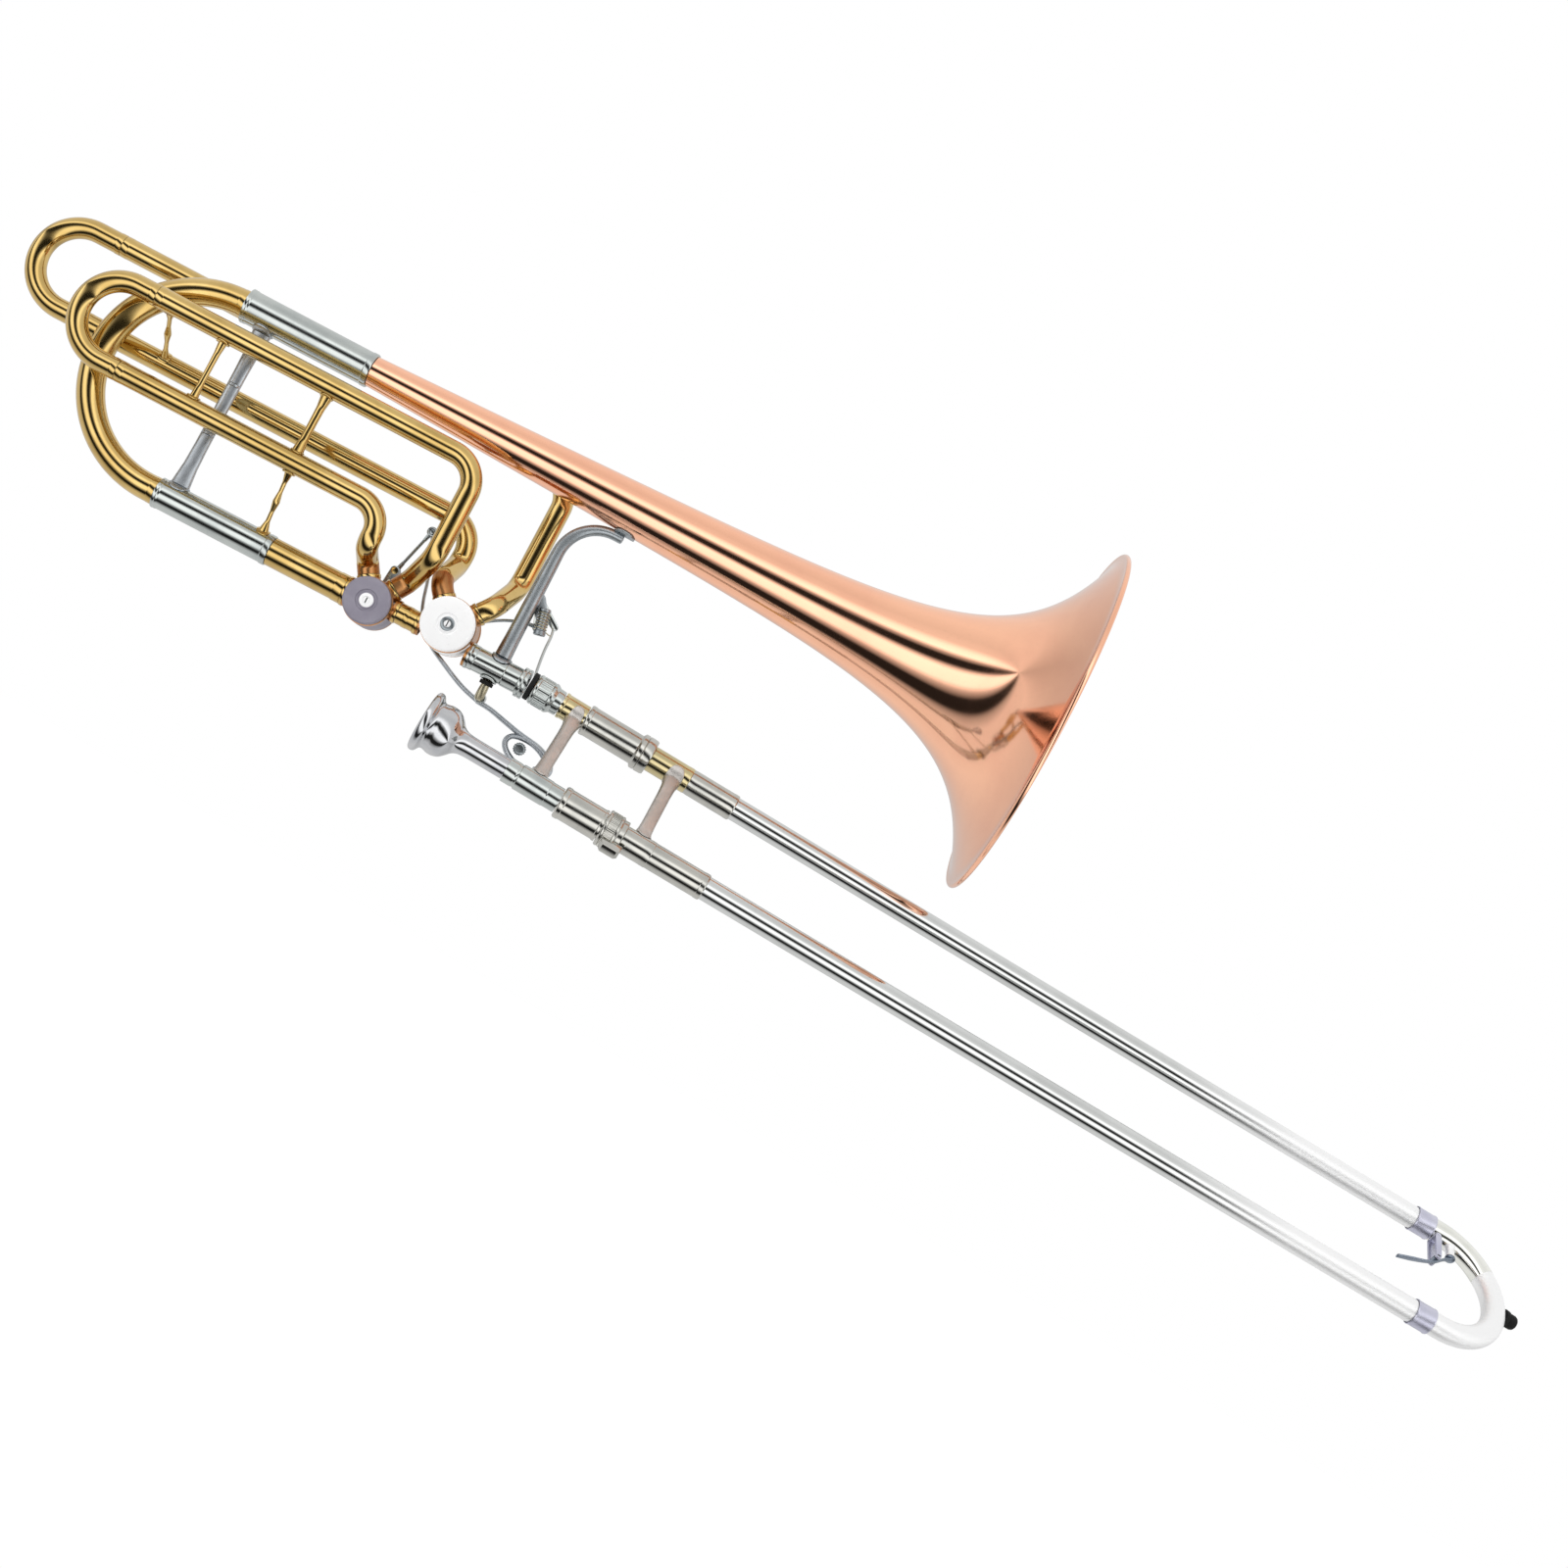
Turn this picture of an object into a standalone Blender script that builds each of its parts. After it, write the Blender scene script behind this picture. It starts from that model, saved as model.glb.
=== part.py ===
# Bass trombone: two in-line rotary valves, each with its own loop of tubing and tuning slide,
# a main tuning slide, a flared bell, and a hand slide with a water key.
#
# Every size below is in millimetres. Meshes are written in metres, +Z up.
# The origin is on the axis of the upper hand slide tube, inside the bell lock nut, where the
# left hand holds the instrument. +X runs along the hand slide, towards its bow.
# The bell section has its own frame (x to the bell's mouth, y away from the player's left
# hand side, z up to the bell), and so has the hand slide (x along it, -y to the mouthpiece tube).

import math

import bmesh
import bpy
from mathutils import Matrix, Vector

MM = 0.001
GAP = 0.35
SIDES = 12
ROD_SIDES = 8
CASING_SIDES = 20

# How the bell section stands to the hand slide, in degrees
BELL_RISE = 3.4
BELL_TURN = 3.0
SLIDE_ROLL = 37.6

# Bell
BELL_SPACING = 133.0
BELL_MOUTH_X = 290.0
BELL_TAIL_X = -194.6
BELL_TAIL_RADIUS = 10.2
BELL_TAPER = 0.0354
BELL_FLARE = ((60.0, 55.0), (33.0, 18.0))
BELL_WALL = 1.2
BELL_BEAD = 1.7
BELL_SIDES = 28
BELL_DISTANCES = (0.0, 3.0, 7.0, 13.0, 22.0, 36.0, 58.0, 90.0, 140.0, 210.0, 320.0)
UPPER_AXIS = (0, 0, BELL_SPACING)

# Main tuning slide
UPPER_SLEEVE_X = (-285.0, -195.0)
UPPER_SLEEVE_RADIUS = 11.2
LOWER_SLEEVE_X = (-279.0, -198.0)
LOWER_SLEEVE_RADIUS = 9.9
MAIN_BOW_RADIUS = 9.2
LOWER_LEG_RADIUS = 8.5
MAIN_LEG_LENGTH = 76.0
MAIN_BOW_WALL = 0.9
SLEEVE_BEAD = 0.5
SLEEVE_BEAD_LENGTH = 3.0
SLIDE_BRACE_X = -268.5
SLIDE_BRACE_WIDTH = 9.2
SLIDE_BRACE_DEPTH = 5.0

# Main tubing between the sleeves, the valves and the hand slide
GOOSENECK_RADIUS = 9.8
GOOSENECK_WALL = 0.9
VALVE_LINK_RADIUS = 7.4
VALVE_LINK_RISE = 3.0
RECEIVER_RADIUS = 8.4
RECEIVER_BORE = 7.3
RECEIVER_END_X = -13.5
RECEIVER_COLLAR_RADIUS = 10.2
RECEIVER_COLLAR_LENGTH = 5.0
GASKET_RADIUS = 9.6
GASKET_LENGTH = 3.6
NUT_X = (-8.5, 11.5)
NUT_RADIUS = 10.9
NUT_FLATS = 12

# Valves: place of the rotor axis, casing radius, and the angles of the two loop ports
F_VALVE = {"x": -74.0, "z": 10.5, "radius": 18.2, "ports": (130.0, 52.0)}
G_VALVE = {"x": -126.0, "z": 0.0, "radius": 15.9, "ports": (122.0, 58.0)}
CASING_HALF_DEPTH = 17.0
CASING_WALL = 2.5
STUB_LENGTH = 2.4
STUB_LIP = 0.5
CAP_DEPTH = 4.8
CAP_INSET = 0.3
PLATE_DEPTH = 3.2
ROTOR_PORT_OFFSET = 0.66
ROTOR_PORT_RADIUS = 0.40
SPINDLE_RADIUS = 3.6
FRONT_SPINDLE_LENGTH = 2.4
ARM_STUD_RADIUS = 2.6

# Loops of tubing
LOOP_RADIUS = 7.2
LOOP_WALL = 0.7
LOOP_LEG_RADIUS = 6.0
LOOP_LEG_LENGTH = 70.0
LOOP_CORNER = BELL_SPACING * 0.15
LOOP_PORT_RUN = 10.0

# First loop: depth, heights, ends, and the (x, z) turns of its tubes with the radii of their bends
F_LOOP_Y = 26.0
F_LOOP_TOP_Z = BELL_SPACING
F_LOOP_LOW_Z = BELL_SPACING * 0.579
F_LOOP_END_X = -380.0
F_BOW_CENTRE_X = F_LOOP_END_X - 18.5
F_LOW_TURN = (-92.0, BELL_SPACING * 0.376)
F_LOW_TURN_RADII = (12.0, 12.0)
F_TOP_TURN = (-50.0, BELL_SPACING * 0.406)
F_TOP_TURN_RADII = (14.0, 16.0)

# Second loop
G_LOOP_Y = -20.0
G_LOOP_TOP_Z = BELL_SPACING * 0.823
G_LOOP_LOW_Z = BELL_SPACING * 0.421
G_LOOP_END_X = -331.0
G_BOW_CENTRE_X = G_LOOP_END_X - 13.5
G_LOW_TURN = (-142.3, BELL_SPACING * 0.233)
G_LOW_TURN_RADII = (9.0, 9.0)
G_TOP_TURN = (-101.2, BELL_SPACING * 0.331)
G_TOP_TURN_RADII = (14.0, 16.0)

# Thin braces of the loops
LOOP_POST_X = -207.5
LOOP_BRACE_X = (-282.0, -208.5)
LOOP_BRACE_RADII = (2.2, 3.0)
LOOP_TIE_X = G_LOOP_END_X + 9.0
THIN_BRACE_RADIUS = 1.7
LOOP_FOOT_LENGTH = 9.0

# Curved hand brace from the receiver to the bell
HAND_BRACE_X = -35.5
HAND_BRACE_TOP_X = -3.0
HAND_BRACE_BEND = 27.0
HAND_BRACE_RADIUS = 5.2
HAND_BRACE_TIP_RADIUS = 3.4
SADDLE_WALL = 1.1
SADDLE_LENGTH = 14.0

# Linkage layers, measured behind the middle of the valves
ARM_DEPTH = 3.0
LINK_DEPTH = 2.2
LEVER_DEPTH = 2.6
LAYER_GAP = 0.6
PIN_RADIUS = 1.6
EYE_RADIUS = 3.6
LINK_RADIUS = 1.1
ARM_START = CASING_HALF_DEPTH + GAP + PLATE_DEPTH + LAYER_GAP
LINK_START = ARM_START + ARM_DEPTH + LAYER_GAP
LEVER_START = LINK_START + LINK_DEPTH + LAYER_GAP

# Thumb trigger, which turns the F valve
THUMB_PIVOT = (-33.0, 53.0)
THUMB_ARM_END = (-27.0, 37.5)
THUMB_HUB_Y = (9.0, 23.0)
THUMB_HUB_RADIUS = 3.6
THUMB_PIN_RADIUS = 2.2
SPRING_BARREL = ((-25.8, 49.5), (-21.8, 32.0))
SPRING_BARREL_Y = 2.5
SPRING_BARREL_RADIUS = 4.2
KNUCKLE_Y = (14.8, 19.2)
PADDLE_PATH = ((-17.5, 43.0), (-15.7, 36.0), (-15.6, 25.0), (-13.6, 11.0), (-11.2, 0.0))
PADDLE_WIDTH = 12.0
PADDLE_THICKNESS = 1.8
F_ARM_LENGTH = 7.0
F_ARM_ANGLE = 50.0

# Finger trigger, which turns the second valve
FINGER_PIVOT = (-37.0, -21.0)
FINGER_ARM_END = (-117.0, 61.0)
FINGER_HUB_Y = (5.0, 15.0)
FINGER_HUB_RADIUS = 3.8
FINGER_STRIP_WIDTH = 6.0
FINGER_STRIP_THICKNESS = 2.4
FINGER_BEND = ((-14.0, 1.0), (-30.0, 8.0), (-46.0, 16.0), (-58.0, 26.0), (-64.0, 38.0), (-69.0, 55.0),
               (-75.0, 70.0))
FINGER_LOOP_CENTRE = (7.5, -40.3)
FINGER_LOOP_SIZE = (17.5, 8.8)
FINGER_LOOP_TILT = -12.0
FINGER_KNOB = (0.8, -38.6)
FINGER_KNOB_RADIUS = 3.4
G_ARM_LENGTH = 27.0
G_ARM_ANGLE = 90.0

# Hand slide
SLIDE_SPACING = 87.0
LOWER_TUBE_Y = -SLIDE_SPACING
OUTER_RADIUS = 7.9
OUTER_WALL = 0.55
INNER_RADIUS = 6.8
INNER_WALL = 0.5
OUTER_TUBE_X = (63.0, 687.0)
INNER_TUBE_END_X = 650.0
NECK_RADIUS = 8.9
NECK_X = (12.2, 29.6)
HOLDER_X = (5.0, 42.6)
HOLDER_RADIUS = 8.1
UPPER_BARREL_X = (30.0, 79.0)
LOWER_BARREL_X = (43.0, 73.0)
BARREL_RADIUS = 10.7
BARREL_WALL = 1.2
BARREL_RING_RADIUS = 12.3
BARREL_RING_LENGTH = 10.0
GRIP_SLEEVE_RADIUS = 8.8
GRIP_SLEEVE_START_X = 62.0
UPPER_SLEEVE_END_X = 142.0
LOWER_SLEEVE_END_X = 147.0
INNER_BRACE_X = 24.0
OUTER_BRACE_X = 98.0
BRACE_RADIUS = 4.4
COLLAR_WIDTH = 12.0
COLLAR_WALL = 1.1
FERRULE_X = (674.0, 688.0)
FERRULE_RADIUS = 8.9
SLIDE_BOW_START_X = 688.4
SLIDE_BOW_CENTRE_X = 694.5
LOCK_RING_X = (73.6, 87.6)
LOCK_RING_RADIUS = 12.3
LOCK_LUG_LENGTH = 6.0
LOCK_LUG_WIDTH = 7.0

# Bumper and water key
BUMPER_LENGTH = 10.0
BUMPER_RADIUS = 5.0
BUMPER_CUP_LENGTH = 3.0
KEY_PAD_X = 704.0
NIPPLE_RADIUS = 3.0
NIPPLE_TOP = 16.5
KEY_HINGE = (691.8, 27.5)
KEY_PATH = ((705.0, 18.6), (699.5, 22.0), (692.0, 29.6), (684.0, 34.6), (674.0, 39.4), (662.0, 44.8))
KEY_WIDTH = 5.0

# Mouthpiece
MOUTHPIECE_RIM_X = -54.0
MOUTHPIECE_RIM_RADIUS = 20.0
MOUTHPIECE_CUP_RADIUS = 13.6
MOUTHPIECE_CUP_DEPTH = 27.0
MOUTHPIECE_THROAT_RADIUS = 3.4
MOUTHPIECE_BACK = ((8.0, 15.6), (12.0, 16.3), (16.0, 16.0), (20.0, 14.4), (24.0, 11.6), (28.0, 9.0),
                   (33.0, 7.2))
MOUTHPIECE_SHANK_END_X = 25.0
SHANK_RADIUS = 6.1


def finish(name, colour, metallic, roughness):
    """One plain material of the object."""
    material = bpy.data.materials.new(name)
    material.use_nodes = True
    shader = material.node_tree.nodes["Principled BSDF"]
    shader.inputs["Base Color"].default_value = (*colour, 1.0)
    shader.inputs["Metallic"].default_value = metallic
    shader.inputs["Roughness"].default_value = roughness
    return material


def empty(name, rotation_degrees):
    """A frame that pieces are parented to."""
    frame = bpy.data.objects.new(name, None)
    frame.rotation_euler = [math.radians(angle) for angle in rotation_degrees]
    bpy.context.collection.objects.link(frame)
    return frame


def circle(count, start=0.0):
    """Angles of the corners of a ring."""
    return [start + 2 * math.pi * index / count for index in range(count)]


def ring_faces(lower, upper):
    """Quads, or triangles at a pole, between two rings of corner numbers."""
    if len(lower) == 1 and len(upper) == 1:
        return []
    if len(lower) == 1:
        return [(lower[0], upper[i], upper[(i + 1) % len(upper)]) for i in range(len(upper))]
    if len(upper) == 1:
        return [(lower[i], upper[0], lower[(i + 1) % len(lower)]) for i in range(len(lower))]
    count = len(lower)
    return [(lower[i], upper[i], upper[(i + 1) % count], lower[(i + 1) % count]) for i in range(count)]


def turned(outline, start=(0, 0, 0), axis=(1, 0, 0), sides=SIDES):
    """A solid of revolution from (distance along the axis, radius) points.

    An outline that touches the axis at both ends is open there. Any other is a closed loop.
    """
    turn = Vector((1, 0, 0)).rotation_difference(Vector(axis).normalized()).to_matrix()
    corners = []
    rings = []
    for along, radius in outline:
        first = len(corners)
        if radius < 1e-6:
            corners.append(Vector(start) + turn @ Vector((along, 0, 0)))
            rings.append([first])
            continue
        for angle in circle(sides):
            offset = Vector((along, radius * math.cos(angle), radius * math.sin(angle)))
            corners.append(Vector(start) + turn @ offset)
        rings.append(list(range(first, first + sides)))
    faces = []
    closed = len(rings[0]) > 1
    pairs = list(zip(rings, rings[1:]))
    if closed:
        pairs.append((rings[-1], rings[0]))
    for lower, upper in pairs:
        faces += ring_faces(lower, upper)
    return corners, faces


def tube(x_range, outer, inner, start=(0, 0, 0), axis=(1, 0, 0), sides=SIDES):
    """A straight tube, or a rod where the inner radius is 0."""
    low, high = x_range
    if inner <= 0:
        return turned([(low, 0), (low, outer), (high, outer), (high, 0)], start, axis, sides)
    return turned([(low, inner), (low, outer), (high, outer), (high, inner)], start, axis, sides)


def route(corners, radii, step=30.0):
    """Points along straight runs whose corners are rounded with the given radii."""
    points = [Vector(corners[0])]
    for index in range(1, len(corners) - 1):
        corner = Vector(corners[index])
        back = (Vector(corners[index - 1]) - corner).normalized()
        ahead = (Vector(corners[index + 1]) - corner).normalized()
        bend = math.pi - back.angle(ahead)
        setback = radii[index - 1] * math.tan(bend / 2)
        centre = corner + (back + ahead).normalized() * (radii[index - 1] / math.cos(bend / 2))
        first = corner + back * setback - centre
        normal = first.cross(-back).normalized()
        count = max(2, math.ceil(math.degrees(bend) / step))
        for number in range(count + 1):
            point = centre + Matrix.Rotation(bend * number / count, 3, normal) @ first
            if (point - points[-1]).length > 0.01:
                points.append(point)
    points.append(Vector(corners[-1]))
    return points


def arc(centre, radius, start_degrees, end_degrees, count):
    """Points of an arc in a plane of two coordinates."""
    points = []
    for number in range(count + 1):
        angle = math.radians(start_degrees + (end_degrees - start_degrees) * number / count)
        points.append((centre[0] + radius * math.cos(angle), centre[1] + radius * math.sin(angle)))
    return points


def pipe(points, outer, inner=0.0, sides=SIDES, across=None, flat=1.0):
    """A tube or rod that follows points. outer and inner may be lists, one value a point.

    across fixes the direction of the section's second axis, and flat stretches the section there.
    """
    points = [Vector(point) for point in points]
    outers = outer if isinstance(outer, list) else [outer] * len(points)
    inners = inner if isinstance(inner, list) else [inner] * len(points)
    tangents = []
    for index, point in enumerate(points):
        before = points[max(index - 1, 0)]
        after = points[min(index + 1, len(points) - 1)]
        ahead = (after - point).normalized() if (after - point).length > 1e-6 else Vector()
        behind = (point - before).normalized() if (point - before).length > 1e-6 else Vector()
        tangents.append((ahead + behind).normalized())
    side = Vector(across) if across else tangents[0].orthogonal()
    corners = []
    outside = []
    inside = []
    for point, tangent, wide, narrow in zip(points, tangents, outers, inners):
        if across:
            side = Vector(across)
        side = (side - tangent * side.dot(tangent)).normalized()
        other = side.cross(tangent)
        for radius, rings in ((wide, outside), (narrow, inside)):
            if radius <= 0:
                continue
            first = len(corners)
            for angle in circle(sides, math.pi / sides):
                corners.append(point + other * (radius * math.cos(angle))
                               + side * (radius * flat * math.sin(angle)))
            rings.append(list(range(first, first + sides)))
    faces = []
    for lower, upper in zip(outside, outside[1:]):
        faces += ring_faces(lower, upper)
    for lower, upper in zip(inside, inside[1:]):
        faces += [tuple(reversed(face)) for face in ring_faces(lower, upper)]
    if inside:
        faces += ring_faces(inside[0], outside[0])
        faces += ring_faces(outside[-1], inside[-1])
    else:
        faces.append(tuple(reversed(outside[0])))
        faces.append(tuple(outside[-1]))
    return corners, faces


def stepped(points, joints, bow_radius, leg_radius, bow_bore, leg_bore):
    """Points and radii of a bow whose two legs are thinner than its bend."""
    path = []
    outers = []
    inners = []
    for index, point in enumerate(points):
        is_leg = index < joints[0] or index > joints[1]
        if index in joints:
            first, second = (leg_radius, bow_radius) if index == joints[0] else (bow_radius, leg_radius)
            path += [point, point]
            outers += [first, second]
            inners += [leg_bore, bow_bore] if index == joints[0] else [bow_bore, leg_bore]
            continue
        path.append(point)
        outers.append(leg_radius if is_leg else bow_radius)
        inners.append(leg_bore if is_leg else bow_bore)
    return path, outers, inners


def plate(outline, y_range):
    """An outline of (x, z) points, pushed from one y to another."""
    count = len(outline)
    corners = []
    for y in y_range:
        corners += [Vector((x, y, z)) for x, z in outline]
    faces = [tuple(range(count)), tuple(reversed(range(count, 2 * count)))]
    faces += [(i, i + count, (i + 1) % count + count, (i + 1) % count) for i in range(count)]
    return corners, faces


def bar_outline(start, end, start_radius, end_radius, count=6):
    """The outline of a bar with round ends."""
    heading = math.degrees(math.atan2(end[1] - start[1], end[0] - start[0]))
    return (arc(end, end_radius, heading - 90, heading + 90, count)
            + arc(start, start_radius, heading + 90, heading + 270, count))


def saddle(radius, half_angle, length, along, wall=SADDLE_WALL, centre=(0, 0, 0), towards=(0, 0, 1)):
    """A curved foot that sits on a tube. towards points from the tube's axis to the brace."""
    inner = radius + GAP
    section = (arc((0, 0), inner, 90 - half_angle, 90 + half_angle, 6)
               + arc((0, 0), inner + wall, 90 + half_angle, 90 - half_angle, 6))
    axis = Vector(along).normalized()
    up = Vector(towards).normalized()
    side = axis.cross(up)
    corners = []
    for shift in (-length / 2, length / 2):
        corners += [Vector(centre) + axis * shift + side * a + up * b for a, b in section]
    count = len(section)
    faces = [tuple(range(count)), tuple(reversed(range(count, 2 * count)))]
    faces += [(i, i + count, (i + 1) % count + count, (i + 1) % count) for i in range(count)]
    return corners, faces


def mesh_from(name, shape, origin=(0, 0, 0)):
    """A mesh in millimetres from corners and faces, with its faces pointing out."""
    corners, faces = shape
    mesh = bpy.data.meshes.new(name)
    mesh.from_pydata([Vector(corner) - Vector(origin) for corner in corners], [], faces)
    work = bmesh.new()
    work.from_mesh(mesh)
    bmesh.ops.recalc_face_normals(work, faces=work.faces)
    work.to_mesh(mesh)
    work.free()
    return mesh


def combine(piece, other, operation):
    """Join another object to a piece, or cut it out, and remove that object."""
    change = piece.modifiers.new(operation, "BOOLEAN")
    change.operation = operation
    change.solver = "EXACT"
    change.object = other
    bpy.context.view_layer.update()
    result = bpy.data.meshes.new_from_object(piece.evaluated_get(bpy.context.evaluated_depsgraph_get()))
    piece.modifiers.remove(change)
    old = piece.data
    piece.data = result
    bpy.data.meshes.remove(old)
    bpy.data.objects.remove(other, do_unlink=True)


def joined(name, shapes, origin):
    """One object in millimetres from shapes that overlap."""
    whole = bpy.data.objects.new(name, mesh_from(name, shapes[0], origin))
    bpy.context.collection.objects.link(whole)
    for shape in shapes[1:]:
        extra = bpy.data.objects.new("extra", mesh_from("extra", shape, origin))
        bpy.context.collection.objects.link(extra)
        combine(whole, extra, "UNION")
    return whole


def make(name, shape, material, frame, origin=(0, 0, 0), add=(), cut=()):
    """One piece of the object. Its origin is on its joint's axis where it moves."""
    piece = joined(name, [shape, *add], origin)
    if cut:
        combine(piece, joined("cutter", list(cut), origin), "DIFFERENCE")
    piece.data.transform(Matrix.Scale(MM, 4))
    piece.parent = frame
    piece.location = Vector(origin) * MM
    piece.data.materials.clear()
    piece.data.materials.append(material)
    piece.data.name = name
    piece.data.shade_smooth()
    piece.data.set_sharp_from_angle(angle=math.radians(40))
    return piece


def bell_radius(distance):
    """Outer radius of the bell at a distance behind its mouth."""
    length = BELL_MOUTH_X - BELL_TAIL_X
    radius = BELL_TAIL_RADIUS + BELL_TAPER * (length - distance)
    for height, fall in BELL_FLARE:
        radius += height * math.exp(-distance / fall)
    return radius


def bell_bottom(x):
    """Height of the bell's underside above the gooseneck's axis."""
    return BELL_SPACING - bell_radius(BELL_MOUTH_X - x)


def bell_outline():
    """Closed outline of the bell's wall, with the rolled bead at its mouth."""
    length = BELL_MOUTH_X - BELL_TAIL_X
    distances = [distance for distance in BELL_DISTANCES if distance < length] + [length]
    outside = []
    inside = []
    for distance in distances:
        step = 0.2
        slope = (bell_radius(max(distance - step, 0)) - bell_radius(distance + step)) / step
        slope /= 1 if distance < step else 2
        lean = math.hypot(1, slope)
        x = BELL_MOUTH_X - distance
        radius = bell_radius(distance)
        outside.append((x, radius))
        inside.append((x + BELL_WALL * slope / lean, radius - BELL_WALL / lean))
    inside[-1] = (BELL_TAIL_X, BELL_TAIL_RADIUS - BELL_WALL)
    rim_x, rim_radius = outside[0]
    bead = arc((rim_x, rim_radius), BELL_BEAD, 15, 195, 4)
    return bead + outside[1:] + list(reversed(inside[1:]))


def port_point(valve, angle, distance):
    """A point on the line of a loop port, in the middle of the valve's depth."""
    turn = math.radians(angle)
    return Vector((valve["x"] + distance * math.cos(turn), 0, valve["z"] + distance * math.sin(turn)))


def stub_reach(valve):
    """How far a valve's loop stubs reach from the rotor's axis."""
    return valve["radius"] + STUB_LENGTH


def main_port_x(valve, height, radius, side):
    """Where the stub of a main tube ends. side is -1 to the left and 1 to the right."""
    offset = max(abs(height - valve["z"]) - radius, 0)
    chord = math.sqrt(valve["radius"] ** 2 - offset ** 2)
    return valve["x"] + side * (chord + STUB_LENGTH)


def on_saddle_height(radius):
    """How far a brace's rod starts from the axis of the tube that it sits on."""
    return radius + GAP + SADDLE_WALL / 2


for old_object in list(bpy.data.objects):
    bpy.data.objects.remove(old_object, do_unlink=True)

LACQUERED_BRASS = finish("lacquered_brass", (0.80, 0.55, 0.20), 1.0, 0.16)
ROSE_BRASS = finish("rose_brass", (0.88, 0.52, 0.38), 1.0, 0.18)
NICKEL_SILVER = finish("nickel_silver", (0.62, 0.64, 0.62), 1.0, 0.22)
CHROMED_TUBE = finish("chromed_tube", (0.86, 0.87, 0.87), 1.0, 0.08)
STEEL = finish("steel", (0.55, 0.55, 0.56), 1.0, 0.30)
GREY_CAP = finish("grey_cap", (0.42, 0.41, 0.47), 1.0, 0.35)
BRIGHT_CAP = finish("bright_cap", (0.92, 0.92, 0.91), 1.0, 0.12)
BLACK_RUBBER = finish("black_rubber", (0.02, 0.02, 0.02), 0.0, 0.60)
COPPER_CASING = finish("copper_casing", (0.60, 0.33, 0.16), 1.0, 0.25)

bell_frame = empty("bell_frame", (0, -BELL_RISE, -BELL_TURN))
slide_frame = empty("slide_frame", (SLIDE_ROLL, 0, 0))


def build_bell():
    """The flared bell and the sleeve that its tail is fixed in."""
    make("bell", turned(bell_outline(), UPPER_AXIS, sides=BELL_SIDES), ROSE_BRASS, bell_frame)
    start, end = UPPER_SLEEVE_X
    bore = MAIN_BOW_RADIUS + GAP + 0.2
    bead = UPPER_SLEEVE_RADIUS + SLEEVE_BEAD
    outline = [(start, bore), (start, bead), (start + SLEEVE_BEAD_LENGTH, bead),
               (start + SLEEVE_BEAD_LENGTH, UPPER_SLEEVE_RADIUS),
               (end - SLEEVE_BEAD_LENGTH, UPPER_SLEEVE_RADIUS), (end - SLEEVE_BEAD_LENGTH, bead),
               (end, bead), (end, bore)]
    make("upper_tuning_sleeve", turned(outline, UPPER_AXIS), NICKEL_SILVER, bell_frame)


def build_main_line():
    """The straight tubing between the tuning slide, the valves and the hand slide."""
    start, end = LOWER_SLEEVE_X
    bore = LOWER_LEG_RADIUS + GAP + 0.2
    bead = LOWER_SLEEVE_RADIUS + SLEEVE_BEAD
    outline = [(start, bore), (start, bead), (start + SLEEVE_BEAD_LENGTH, bead),
               (start + SLEEVE_BEAD_LENGTH, LOWER_SLEEVE_RADIUS),
               (end - SLEEVE_BEAD_LENGTH, LOWER_SLEEVE_RADIUS), (end - SLEEVE_BEAD_LENGTH, bead),
               (end, bead), (end, bore)]
    make("lower_tuning_sleeve", turned(outline), NICKEL_SILVER, bell_frame)

    gooseneck_range = (end + GAP, main_port_x(G_VALVE, 0, GOOSENECK_RADIUS, -1) - GAP)
    make("gooseneck", tube(gooseneck_range, GOOSENECK_RADIUS, GOOSENECK_RADIUS - GOOSENECK_WALL),
         LACQUERED_BRASS, bell_frame)

    link_range = (main_port_x(G_VALVE, VALVE_LINK_RISE, VALVE_LINK_RADIUS, 1) + GAP,
                  main_port_x(F_VALVE, VALVE_LINK_RISE, VALVE_LINK_RADIUS, -1) - GAP)
    make("valve_link_tube",
         tube(link_range, VALVE_LINK_RADIUS, VALVE_LINK_RADIUS - LOOP_WALL, (0, 0, VALVE_LINK_RISE)),
         LACQUERED_BRASS, bell_frame)

    receiver_start = main_port_x(F_VALVE, 0, RECEIVER_RADIUS, 1) + GAP
    collar_start = RECEIVER_END_X - RECEIVER_COLLAR_LENGTH
    outline = [(receiver_start, RECEIVER_BORE), (receiver_start, RECEIVER_RADIUS),
               (collar_start, RECEIVER_RADIUS), (collar_start, RECEIVER_COLLAR_RADIUS),
               (RECEIVER_END_X, RECEIVER_COLLAR_RADIUS), (RECEIVER_END_X, RECEIVER_BORE)]
    make("receiver", turned(outline), NICKEL_SILVER, bell_frame)


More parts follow.
